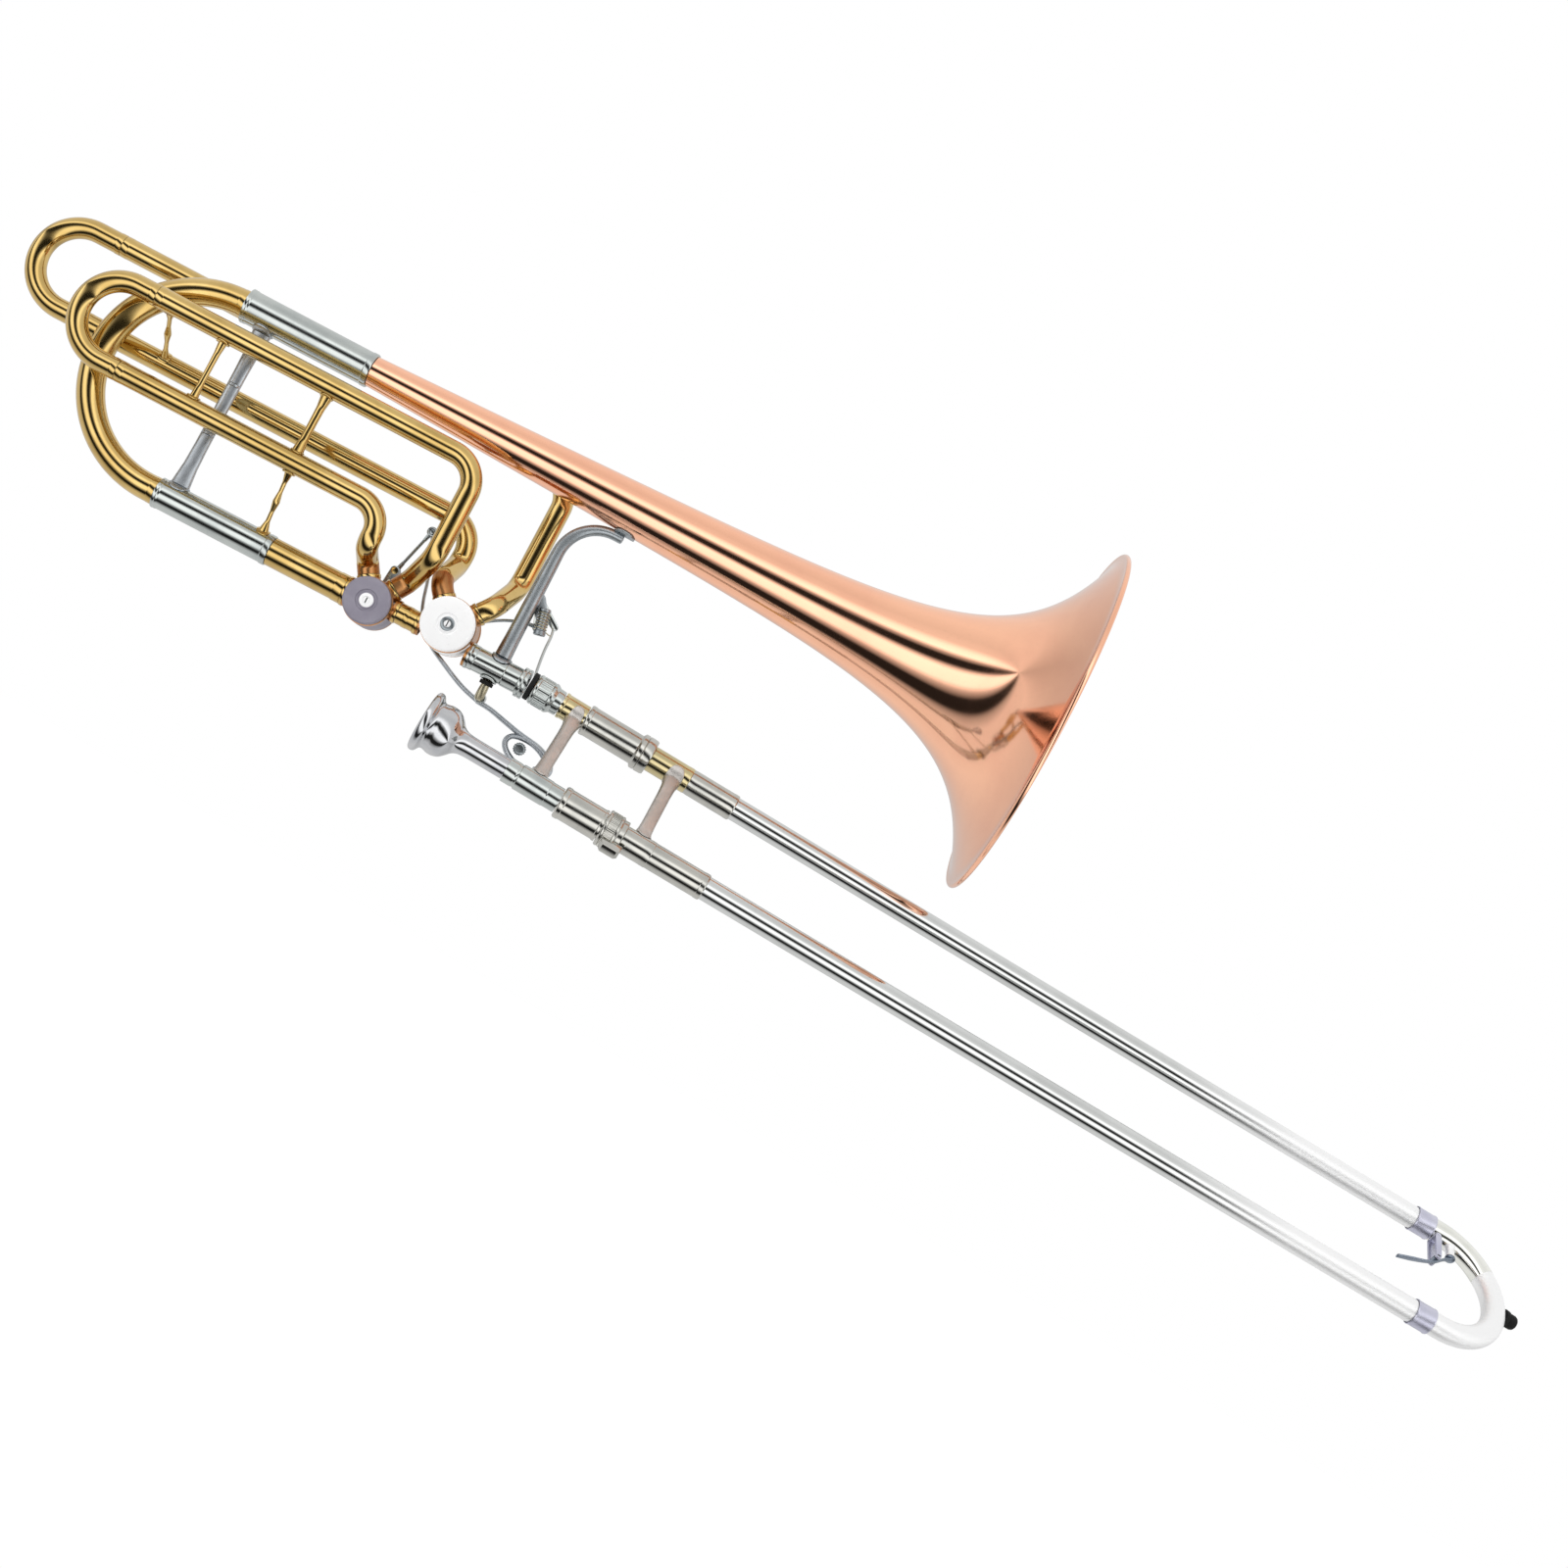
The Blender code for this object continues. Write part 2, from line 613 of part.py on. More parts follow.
def build_valve(name, valve, mains, main_radii, cap_material):
    """A casing with four stubs, its screwed front cap, its back plate and its rotor."""
    centre = Vector((valve["x"], 0, valve["z"]))
    bore = valve["radius"] - CASING_WALL
    ends = (-CASING_HALF_DEPTH, CASING_HALF_DEPTH)
    stubs = []
    holes = []
    for angle in valve["ports"]:
        heading = port_point(valve, angle, 1) - centre
        stubs.append(tube((bore / 2, stub_reach(valve)), LOOP_RADIUS + STUB_LIP, 0, centre, heading))
        holes.append(tube((bore / 3, stub_reach(valve) + 2), LOOP_RADIUS - LOOP_WALL - GAP, 0,
                          centre, heading, 10))
    for side, height, radius in zip((-1, 1), mains, main_radii):
        end = main_port_x(valve, height, radius, side)
        reach = sorted((valve["x"] + side * bore / 3, end))
        stubs.append(tube(reach, radius + STUB_LIP, 0, (0, 0, height)))
        through = sorted((valve["x"] + side * bore / 4, end + side * 2))
        holes.append(tube(through, radius - STUB_LIP - GOOSENECK_WALL, 0, (0, 0, height), sides=10))
    solid = tube(ends, valve["radius"], 0, centre, (0, 1, 0), CASING_SIDES)
    chamber = tube((ends[0] - 2, ends[1] + 2), bore, 0, centre, (0, 1, 0), CASING_SIDES)
    make(name + "_casing", solid, COPPER_CASING, bell_frame, add=stubs, cut=[chamber] + holes)

    front = centre - Vector((0, CASING_HALF_DEPTH + GAP, 0))
    cap_radius = valve["radius"] - CAP_INSET
    cap_hole = SPINDLE_RADIUS - 0.6 + GAP
    cap = [(FRONT_SPINDLE_LENGTH + GAP, 0), (FRONT_SPINDLE_LENGTH + GAP, cap_hole), (0, cap_hole),
           (0, cap_radius), (CAP_DEPTH - 0.8, cap_radius), (CAP_DEPTH, cap_radius - 0.8),
           (CAP_DEPTH, 6.8), (CAP_DEPTH - 0.9, 6.2), (CAP_DEPTH - 0.9, 4.6), (CAP_DEPTH + 0.5, 4.0),
           (CAP_DEPTH + 0.5, 0)]
    make(name + "_cap", turned(cap, front, (0, -1, 0), CASING_SIDES), cap_material, bell_frame)

    back = centre + Vector((0, CASING_HALF_DEPTH + GAP, 0))
    plate_hole = SPINDLE_RADIUS + GAP
    back_plate = [(0, plate_hole), (0, valve["radius"] - 0.6), (PLATE_DEPTH * 0.6, valve["radius"] - 0.6),
                  (PLATE_DEPTH * 0.6, SPINDLE_RADIUS + 3), (PLATE_DEPTH, SPINDLE_RADIUS + 2.4),
                  (PLATE_DEPTH, plate_hole)]
    make(name + "_back_plate", turned(back_plate, back, (0, 1, 0), CASING_SIDES), LACQUERED_BRASS, bell_frame)

    body = CASING_HALF_DEPTH - GAP
    rotor_radius = bore - 0.45
    behind = ARM_START - GAP
    rotor = [(-body - FRONT_SPINDLE_LENGTH, 0), (-body - FRONT_SPINDLE_LENGTH, SPINDLE_RADIUS - 0.6),
             (-body, SPINDLE_RADIUS - 0.6), (-body, rotor_radius), (body, rotor_radius),
             (body, SPINDLE_RADIUS), (behind, SPINDLE_RADIUS), (behind, ARM_STUD_RADIUS),
             (ARM_START + ARM_DEPTH, ARM_STUD_RADIUS), (ARM_START + ARM_DEPTH, 0)]
    offset = rotor_radius * ROTOR_PORT_OFFSET
    passage = rotor_radius * ROTOR_PORT_RADIUS
    reach = (-rotor_radius - 2, rotor_radius + 2)
    passages = [tube(reach, passage, 0, centre + Vector((0, 0, side * offset)), sides=10)
                for side in (-1, 1)]
    make(name + "_rotor", turned(rotor, centre, (0, 1, 0), CASING_SIDES), LACQUERED_BRASS, bell_frame,
         tuple(centre), cut=passages)


def arm_end(valve, length, angle):
    """Where a rotor's arm ends, as (x, z)."""
    turn = math.radians(angle)
    return (valve["x"] + length * math.cos(turn), valve["z"] + length * math.sin(turn))


def rotor_arm(name, valve, length, angle):
    """The stop arm on a rotor's spindle."""
    start = (valve["x"], valve["z"])
    layer = (ARM_START, ARM_START + ARM_DEPTH)
    outline = bar_outline(start, arm_end(valve, length, angle), EYE_RADIUS + 2.0, EYE_RADIUS)
    hole = tube((layer[0] - 2, layer[1] + 2), ARM_STUD_RADIUS + GAP, 0, (start[0], 0, start[1]), (0, 1, 0))
    make(name, plate(outline, layer), STEEL, bell_frame, (start[0], 0, start[1]), cut=[hole])


def link_rod(name, hinge, far_end, rise):
    """A rod with an eye at each end. It hangs on the lever's pin at hinge."""
    layer = (LINK_START, LINK_START + LINK_DEPTH)
    middle = LINK_START + LINK_DEPTH / 2
    path = [(hinge[0], middle, hinge[1])]
    for share in (0.25, 0.5, 0.75):
        bow = rise * 4 * share * (1 - share)
        path.append((hinge[0] + (far_end[0] - hinge[0]) * share, middle,
                     hinge[1] + (far_end[1] - hinge[1]) * share + bow))
    path.append((far_end[0], middle, far_end[1]))
    eyes = [tube(layer, EYE_RADIUS, 0, (end[0], 0, end[1]), (0, 1, 0)) for end in (hinge, far_end)]
    hole = tube((layer[0] - 1, layer[1] + 1), PIN_RADIUS + GAP, 0, (hinge[0], 0, hinge[1]), (0, 1, 0))
    make(name, pipe(path, LINK_RADIUS, sides=ROD_SIDES), STEEL, bell_frame, (hinge[0], 0, hinge[1]),
         add=eyes, cut=[hole])


def lever_pin(end):
    """The pin that carries a link's eye, on the end of a lever."""
    return tube((LINK_START - LAYER_GAP + 0.1, LEVER_START + 0.5), PIN_RADIUS, 0, (end[0], 0, end[1]),
                (0, 1, 0), 12)


def build_thumb_trigger():
    """The thumb lever, and the bracket on the hand brace with its axle and spring barrel."""
    x, z = THUMB_PIVOT
    layer = (LEVER_START, LEVER_START + LEVER_DEPTH)
    pin_end = LEVER_START - 0.8
    bracket_layer = (HAND_BRACE_RADIUS + GAP, THUMB_HUB_Y[0] - GAP)
    top, bottom = [Vector((a, SPRING_BARREL_Y, b)) for a, b in SPRING_BARREL]
    middle = (top + bottom) / 2
    bracket = plate(bar_outline(THUMB_PIVOT, (middle.x, middle.z), 5.0, 4.0), bracket_layer)
    axle = tube((bracket_layer[0] + 0.5, pin_end), THUMB_PIN_RADIUS, 0, (x, 0, z), (0, 1, 0))
    barrel = tube((0, (bottom - top).length), SPRING_BARREL_RADIUS, 0, top, bottom - top)
    make("thumb_lever_bracket", bracket, NICKEL_SILVER, bell_frame, add=[axle, barrel])

    hub = tube((THUMB_HUB_Y[0], layer[1]), THUMB_HUB_RADIUS, 0, (x, 0, z), (0, 1, 0))
    bore = tube((THUMB_HUB_Y[0] - 2, pin_end + GAP), THUMB_PIN_RADIUS + GAP, 0, (x, 0, z), (0, 1, 0))
    arm = plate(bar_outline(THUMB_PIVOT, THUMB_ARM_END, THUMB_HUB_RADIUS, EYE_RADIUS), layer)
    knuckle = plate(bar_outline(THUMB_PIVOT, PADDLE_PATH[0], 3.2, 2.4), KNUCKLE_Y)
    paddle = pipe([(a, sum(KNUCKLE_Y) / 2, b) for a, b in PADDLE_PATH], PADDLE_THICKNESS / 2,
                  across=(0, 1, 0), flat=PADDLE_WIDTH / PADDLE_THICKNESS)
    make("thumb_lever", hub, NICKEL_SILVER, bell_frame, (x, 0, z),
         add=[arm, knuckle, paddle, lever_pin(THUMB_ARM_END)], cut=[bore])


def band(loop, half, flat):
    """A closed ring of flat section in one plane, such as a finger loop."""
    points = [Vector(point) for point in loop]
    count = len(points)
    side = Vector((0, 1, 0))
    corners = []
    rings = []
    for index, point in enumerate(points):
        tangent = (points[(index + 1) % count] - points[index - 1]).normalized()
        other = side.cross(tangent)
        first = len(corners)
        for angle in circle(ROD_SIDES, math.pi / ROD_SIDES):
            corners.append(point + other * (half * math.cos(angle)) + side * (half * flat * math.sin(angle)))
        rings.append(list(range(first, first + ROD_SIDES)))
    faces = []
    for index in range(count):
        faces += ring_faces(rings[index], rings[(index + 1) % count])
    return corners, faces


def finger_loop_point(degrees, y):
    """A point on the middle line of the finger loop."""
    tilt = math.radians(FINGER_LOOP_TILT)
    a = FINGER_LOOP_SIZE[0] * math.cos(math.radians(degrees))
    b = FINGER_LOOP_SIZE[1] * math.sin(math.radians(degrees))
    return Vector((FINGER_LOOP_CENTRE[0] + a * math.cos(tilt) - b * math.sin(tilt), y,
                   FINGER_LOOP_CENTRE[1] + a * math.sin(tilt) + b * math.cos(tilt)))


def build_finger_trigger():
    """The long finger lever with its loop and knob, and the post on the receiver that carries it."""
    x, z = FINGER_PIVOT
    foot = saddle(RECEIVER_RADIUS, 42, 11.0, (1, 0, 0), centre=(x, 0, 0), towards=(0, 0, -1))
    stalk_top = -on_saddle_height(RECEIVER_RADIUS)
    stalk = plate([(x - 3.2, stalk_top), (x + 3.2, stalk_top), (x + 3.2, z), (x + 1.6, z - 2.8),
                   (x - 1.6, z - 2.8), (x - 3.2, z)], (-2.5, 3.5))
    axle = tube((1.0, FINGER_HUB_Y[1] + 0.8), THUMB_PIN_RADIUS, 0, (x, 0, z), (0, 1, 0))
    make("finger_lever_post", stalk, NICKEL_SILVER, bell_frame, add=[foot, axle])

    hub = tube(FINGER_HUB_Y, FINGER_HUB_RADIUS, 0, (x, 0, z), (0, 1, 0))
    bore = tube((FINGER_HUB_Y[0] - 2, FINGER_HUB_Y[1] + 2), THUMB_PIN_RADIUS + GAP, 0, (x, 0, z), (0, 1, 0))
    middle = sum(FINGER_HUB_Y) / 2
    back = LEVER_START + LEVER_DEPTH / 2
    far = FINGER_ARM_END
    depths = (middle + 1.0, middle + 4.0, back - 6.0, back, back, back, back)
    left = [(x, middle, z - 2.6)]
    left += [(x + a, depth, z + b) for (a, b), depth in zip(FINGER_BEND, depths)]
    left.append((far[0], back, far[1]))
    loop = [finger_loop_point(degrees, middle) for degrees in range(0, 360, 24)]
    flat = FINGER_STRIP_WIDTH / FINGER_STRIP_THICKNESS
    half = FINGER_STRIP_THICKNESS / 2
    right = [(x - 1.0, middle, z - 2.6), (x + 9.0, middle, z - 3.4), (x + 20.0, middle, z - 5.8),
             finger_loop_point(110, middle), finger_loop_point(88, middle)]
    curl = [finger_loop_point(124, middle), (FINGER_KNOB[0] - 1.0, middle, FINGER_KNOB[1] + 2.5),
            (FINGER_KNOB[0], middle, FINGER_KNOB[1])]
    knob = tube(FINGER_HUB_Y, FINGER_KNOB_RADIUS, 0, (FINGER_KNOB[0], 0, FINGER_KNOB[1]), (0, 1, 0))
    eye = tube((LEVER_START, LEVER_START + LEVER_DEPTH), EYE_RADIUS, 0, (far[0], 0, far[1]), (0, 1, 0))
    strip_left = pipe(left, half, sides=ROD_SIDES, across=(0, 1, 0), flat=flat * 0.45)
    strip_right = pipe(right, half, sides=ROD_SIDES, across=(0, 1, 0), flat=flat)
    strip_curl = pipe(curl, half, sides=ROD_SIDES, across=(0, 1, 0), flat=flat * 0.8)
    make("finger_lever", hub, NICKEL_SILVER, bell_frame, (x, 0, z),
         add=[strip_left, strip_right, band(loop, half, flat), strip_curl, knob, eye, lever_pin(far)],
         cut=[bore])


def loop_tube(name, valve, number, turn, turn_radii, corner_radius, y, z, end_x):
    """A fixed tube of a loop: out of a valve's port, over to turn, up, and along to its end."""
    angle = valve["ports"][number]
    start = port_point(valve, angle, stub_reach(valve) + GAP)
    ahead = port_point(valve, angle, stub_reach(valve) + GAP + LOOP_PORT_RUN)
    turn_x, turn_z = turn
    path = route([start, ahead, (turn_x, y, turn_z), (turn_x, y, z), (end_x, y, z)],
                 [*turn_radii, corner_radius])
    make(name, pipe(path, LOOP_RADIUS, LOOP_RADIUS - LOOP_WALL), LACQUERED_BRASS, bell_frame)


def build_loops():
    """The fixed tubes of the two loops, from the valves' ports to their tuning slides."""
    loop_tube("f_loop_low_tube", F_VALVE, 0, F_LOW_TURN, F_LOW_TURN_RADII, LOOP_CORNER,
              F_LOOP_Y, F_LOOP_LOW_Z, F_LOOP_END_X)
    loop_tube("f_loop_top_tube", F_VALVE, 1, F_TOP_TURN, F_TOP_TURN_RADII, LOOP_CORNER,
              F_LOOP_Y, F_LOOP_TOP_Z, F_LOOP_END_X)
    loop_tube("g_loop_low_tube", G_VALVE, 0, G_LOW_TURN, G_LOW_TURN_RADII, LOOP_CORNER - 2,
              G_LOOP_Y, G_LOOP_LOW_Z, G_LOOP_END_X)
    loop_tube("g_loop_top_tube", G_VALVE, 1, G_TOP_TURN, G_TOP_TURN_RADII, LOOP_CORNER,
              G_LOOP_Y, G_LOOP_TOP_Z, G_LOOP_END_X)


def tuning_bow(name, y, low_z, top_z, end_x, centre_x, bow_radius, leg_radius, wall, leg_length):
    """A U bend with two legs that slide in fixed tubes."""
    bend = (top_z - low_z) / 2
    start_x = end_x - GAP
    bend_points = arc((centre_x, (low_z + top_z) / 2), bend, 270, 90, 6)
    points = [(start_x + leg_length, y, low_z), (start_x, y, low_z)]
    points += [(x, y, z) for x, z in bend_points]
    points += [(start_x, y, top_z), (start_x + leg_length, y, top_z)]
    path, outers, inners = stepped([Vector(point) for point in points], (1, len(points) - 2), bow_radius,
                                   leg_radius, bow_radius - wall, leg_radius - wall)
    make(name, pipe(path, outers, inners), LACQUERED_BRASS, bell_frame)


def build_tuning_slides():
    """The main tuning slide and the tuning slides of the two loops."""
    tuning_bow("f_tuning_bow", F_LOOP_Y, F_LOOP_LOW_Z, F_LOOP_TOP_Z, F_LOOP_END_X, F_BOW_CENTRE_X,
               LOOP_RADIUS, LOOP_LEG_RADIUS, LOOP_WALL, LOOP_LEG_LENGTH)
    tuning_bow("g_tuning_bow", G_LOOP_Y, G_LOOP_LOW_Z, G_LOOP_TOP_Z, G_LOOP_END_X, G_BOW_CENTRE_X,
               LOOP_RADIUS, LOOP_LEG_RADIUS, LOOP_WALL, LOOP_LEG_LENGTH)

    bend = BELL_SPACING / 2
    centre_x = UPPER_SLEEVE_X[0] - 2.0
    bow = [(LOWER_SLEEVE_X[0] - GAP, 0, 0)]
    bow += [(x, 0, z) for x, z in arc((centre_x, bend), bend, 270, 90, 8)]
    bow.append((UPPER_SLEEVE_X[0] - GAP, 0, BELL_SPACING))
    make("main_tuning_bow", pipe(bow, MAIN_BOW_RADIUS, MAIN_BOW_RADIUS - MAIN_BOW_WALL),
         LACQUERED_BRASS, bell_frame)
    upper_leg = (UPPER_SLEEVE_X[0], UPPER_SLEEVE_X[0] + MAIN_LEG_LENGTH)
    make("main_upper_leg", tube(upper_leg, MAIN_BOW_RADIUS, MAIN_BOW_RADIUS - MAIN_BOW_WALL, UPPER_AXIS),
         NICKEL_SILVER, bell_frame)
    lower_leg = (LOWER_SLEEVE_X[0], LOWER_SLEEVE_X[0] + MAIN_LEG_LENGTH)
    make("main_lower_leg", tube(lower_leg, LOWER_LEG_RADIUS, LOWER_LEG_RADIUS - MAIN_BOW_WALL),
         NICKEL_SILVER, bell_frame)


def build_braces():
    """The braces of the bell section."""
    low = on_saddle_height(LOWER_SLEEVE_RADIUS)
    high = BELL_SPACING - on_saddle_height(UPPER_SLEEVE_RADIUS)
    half = SLIDE_BRACE_WIDTH / 2
    strut = pipe([(SLIDE_BRACE_X, 0, low), (SLIDE_BRACE_X, 0, (low + high) / 2), (SLIDE_BRACE_X, 0, high)],
                 [half, half * 0.85, half], across=(0, 1, 0), flat=SLIDE_BRACE_DEPTH / SLIDE_BRACE_WIDTH)
    on_upper = (SLIDE_BRACE_X, 0, BELL_SPACING)
    feet = [saddle(LOWER_SLEEVE_RADIUS, 50, SADDLE_LENGTH, (1, 0, 0), centre=(SLIDE_BRACE_X, 0, 0)),
            saddle(UPPER_SLEEVE_RADIUS, 50, SADDLE_LENGTH, (1, 0, 0), centre=on_upper, towards=(0, 0, -1))]
    make("tuning_slide_brace", strut, NICKEL_SILVER, bell_frame, add=feet)

    for name, x, radius in zip(("loop_brace_left", "loop_brace_right"), LOOP_BRACE_X, LOOP_BRACE_RADII):
        thin_brace(name, (x, G_LOOP_Y, G_LOOP_LOW_Z), LOOP_RADIUS, (x, G_LOOP_Y, G_LOOP_TOP_Z), radius, 1.0)
    thin_brace("loop_post", (LOOP_POST_X, 0, 0), LOWER_SLEEVE_RADIUS, (LOOP_POST_X, G_LOOP_Y, G_LOOP_LOW_Z),
               THIN_BRACE_RADIUS, 1.8)
    thin_brace("loop_tie", (LOOP_TIE_X, G_LOOP_Y, G_LOOP_TOP_Z), LOOP_RADIUS,
               (LOOP_TIE_X, F_LOOP_Y, F_LOOP_LOW_Z), THIN_BRACE_RADIUS, 1.0)


def thin_brace(name, start, start_radius, end, radius, spread):
    """A round brace from the axis of one tube to that of a loop's, with a curved foot at each end."""
    start = Vector(start)
    end = Vector(end)
    lean = (end - start).normalized()
    low = start + lean * on_saddle_height(start_radius)
    high = end - lean * on_saddle_height(LOOP_RADIUS)
    rod = pipe([low, low.lerp(high, 0.12), high], [radius * spread, radius, radius], sides=ROD_SIDES)
    feet = [saddle(start_radius, 38, LOOP_FOOT_LENGTH, (1, 0, 0), centre=start, towards=lean),
            saddle(LOOP_RADIUS, 40, LOOP_FOOT_LENGTH, (1, 0, 0), centre=end, towards=-lean)]
    make(name, rod, LACQUERED_BRASS, bell_frame, add=feet)


def build_hand_brace():
    """The curved brace that the left hand closes round, from the receiver to the bell."""
    top = bell_bottom(HAND_BRACE_TOP_X) - GAP - 0.6
    low = on_saddle_height(RECEIVER_RADIUS)
    path = route([(HAND_BRACE_X, 0, low), (HAND_BRACE_X, 0, top - 2.6), (HAND_BRACE_TOP_X, 0, top - 2.6)],
                 [HAND_BRACE_BEND])
    count = len(path) - 1
    radii = []
    for index, point in enumerate(path):
        share = (point - path[0]).length / (path[count] - path[0]).length
        radii.append(HAND_BRACE_RADIUS + (HAND_BRACE_TIP_RADIUS - HAND_BRACE_RADIUS) * share)
    rod = pipe(path, radii, sides=10)
    foot = saddle(RECEIVER_RADIUS, 60, SADDLE_LENGTH, (1, 0, 0), centre=(HAND_BRACE_X, 0, 0))
    slope = Vector((1, 0, -BELL_TAPER))
    pad = saddle(bell_radius(BELL_MOUTH_X - HAND_BRACE_TOP_X) + 0.3, 26, 15.0, slope,
                 centre=(HAND_BRACE_TOP_X, 0, BELL_SPACING), towards=(0, 0, -1))
    make("hand_brace", rod, NICKEL_SILVER, bell_frame, add=[foot, pad])


def build_joint():
    """The gasket and the nut that lock the bell section to the hand slide."""
    gasket = tube((NUT_X[0] - GASKET_LENGTH, NUT_X[0] - GAP), GASKET_RADIUS, RECEIVER_BORE)
    make("joint_ring", gasket, BLACK_RUBBER, slide_frame)
    low, high = NUT_X
    outline = [(low, INNER_RADIUS + 1.2), (low, NUT_RADIUS - 1.2), (low + 1.5, NUT_RADIUS),
               (high - 4.5, NUT_RADIUS), (high - 3.5, NUT_RADIUS - 1.4), (high, NUT_RADIUS - 2.0),
               (high, INNER_RADIUS + 1.2)]
    make("bell_lock_nut", turned(outline, sides=NUT_FLATS), NICKEL_SILVER, slide_frame)


def build_inner_slide():
    """The two inner tubes, the cork barrels that stop the outer slide, and their brace."""
    lower = (0, LOWER_TUBE_Y, 0)
    inner_bore = INNER_RADIUS - INNER_WALL
    make("upper_inner_tube", tube((NUT_X[0] + 1.0, INNER_TUBE_END_X), INNER_RADIUS, inner_bore),
         CHROMED_TUBE, slide_frame)
    make("lower_inner_tube",
         tube((MOUTHPIECE_SHANK_END_X + 2.0, INNER_TUBE_END_X), INNER_RADIUS, inner_bore, lower),
         CHROMED_TUBE, slide_frame)
    clear = INNER_RADIUS + GAP + 0.1
    make("slide_neck", tube(NECK_X, NECK_RADIUS, clear), LACQUERED_BRASS, slide_frame)
    start, end = HOLDER_X
    step_x = MOUTHPIECE_SHANK_END_X + 1.0
    holder_bore = SHANK_RADIUS + GAP + 0.2
    holder = [(start, holder_bore), (start, HOLDER_RADIUS), (start + 8.0, HOLDER_RADIUS),
              (start + 9.0, HOLDER_RADIUS + 0.5), (end, HOLDER_RADIUS + 0.5), (end, clear),
              (step_x, clear), (step_x, holder_bore)]
    make("mouthpiece_holder", turned(holder, lower), NICKEL_SILVER, slide_frame)

    bore = BARREL_RADIUS - BARREL_WALL
    start, end = UPPER_BARREL_X
    ring = end - BARREL_RING_LENGTH
    outline = [(start, clear), (start, BARREL_RADIUS), (ring, BARREL_RADIUS), (ring, BARREL_RING_RADIUS),
               (end, BARREL_RING_RADIUS), (end, bore), (start + 3.0, bore), (start + 3.0, clear)]
    make("upper_cork_barrel", turned(outline), NICKEL_SILVER, slide_frame)
    start, end = LOWER_BARREL_X
    outline = [(start, clear), (start, BARREL_RADIUS), (end, BARREL_RADIUS), (end, bore),
               (start + 3.0, bore), (start + 3.0, clear)]
    make("lower_cork_barrel", turned(outline, lower), NICKEL_SILVER, slide_frame)

    brace("inner_brace", INNER_BRACE_X, NECK_RADIUS, HOLDER_RADIUS + 0.5, COLLAR_WIDTH * 0.8)


def brace(name, x, upper_radius, lower_radius, width):
    """A rod across the hand slide, with a curved foot on each tube."""
    start = -on_saddle_height(upper_radius)
    end = LOWER_TUBE_Y + on_saddle_height(lower_radius)
    waist = BRACE_RADIUS * 0.8
    rod = pipe([(x, start, 0), (x, start - 5, 0), (x, start - 9, 0), (x, end + 9, 0), (x, end + 5, 0),
                (x, end, 0)],
               [BRACE_RADIUS * 1.15, BRACE_RADIUS, waist, waist, BRACE_RADIUS, BRACE_RADIUS * 1.15],
               sides=10)
    feet = [saddle(upper_radius, 75, width, (1, 0, 0), COLLAR_WALL, (x, 0, 0), (0, -1, 0)),
            saddle(lower_radius, 75, width, (1, 0, 0), COLLAR_WALL, (x, LOWER_TUBE_Y, 0), (0, 1, 0))]
    make(name, rod, NICKEL_SILVER, slide_frame, add=feet)


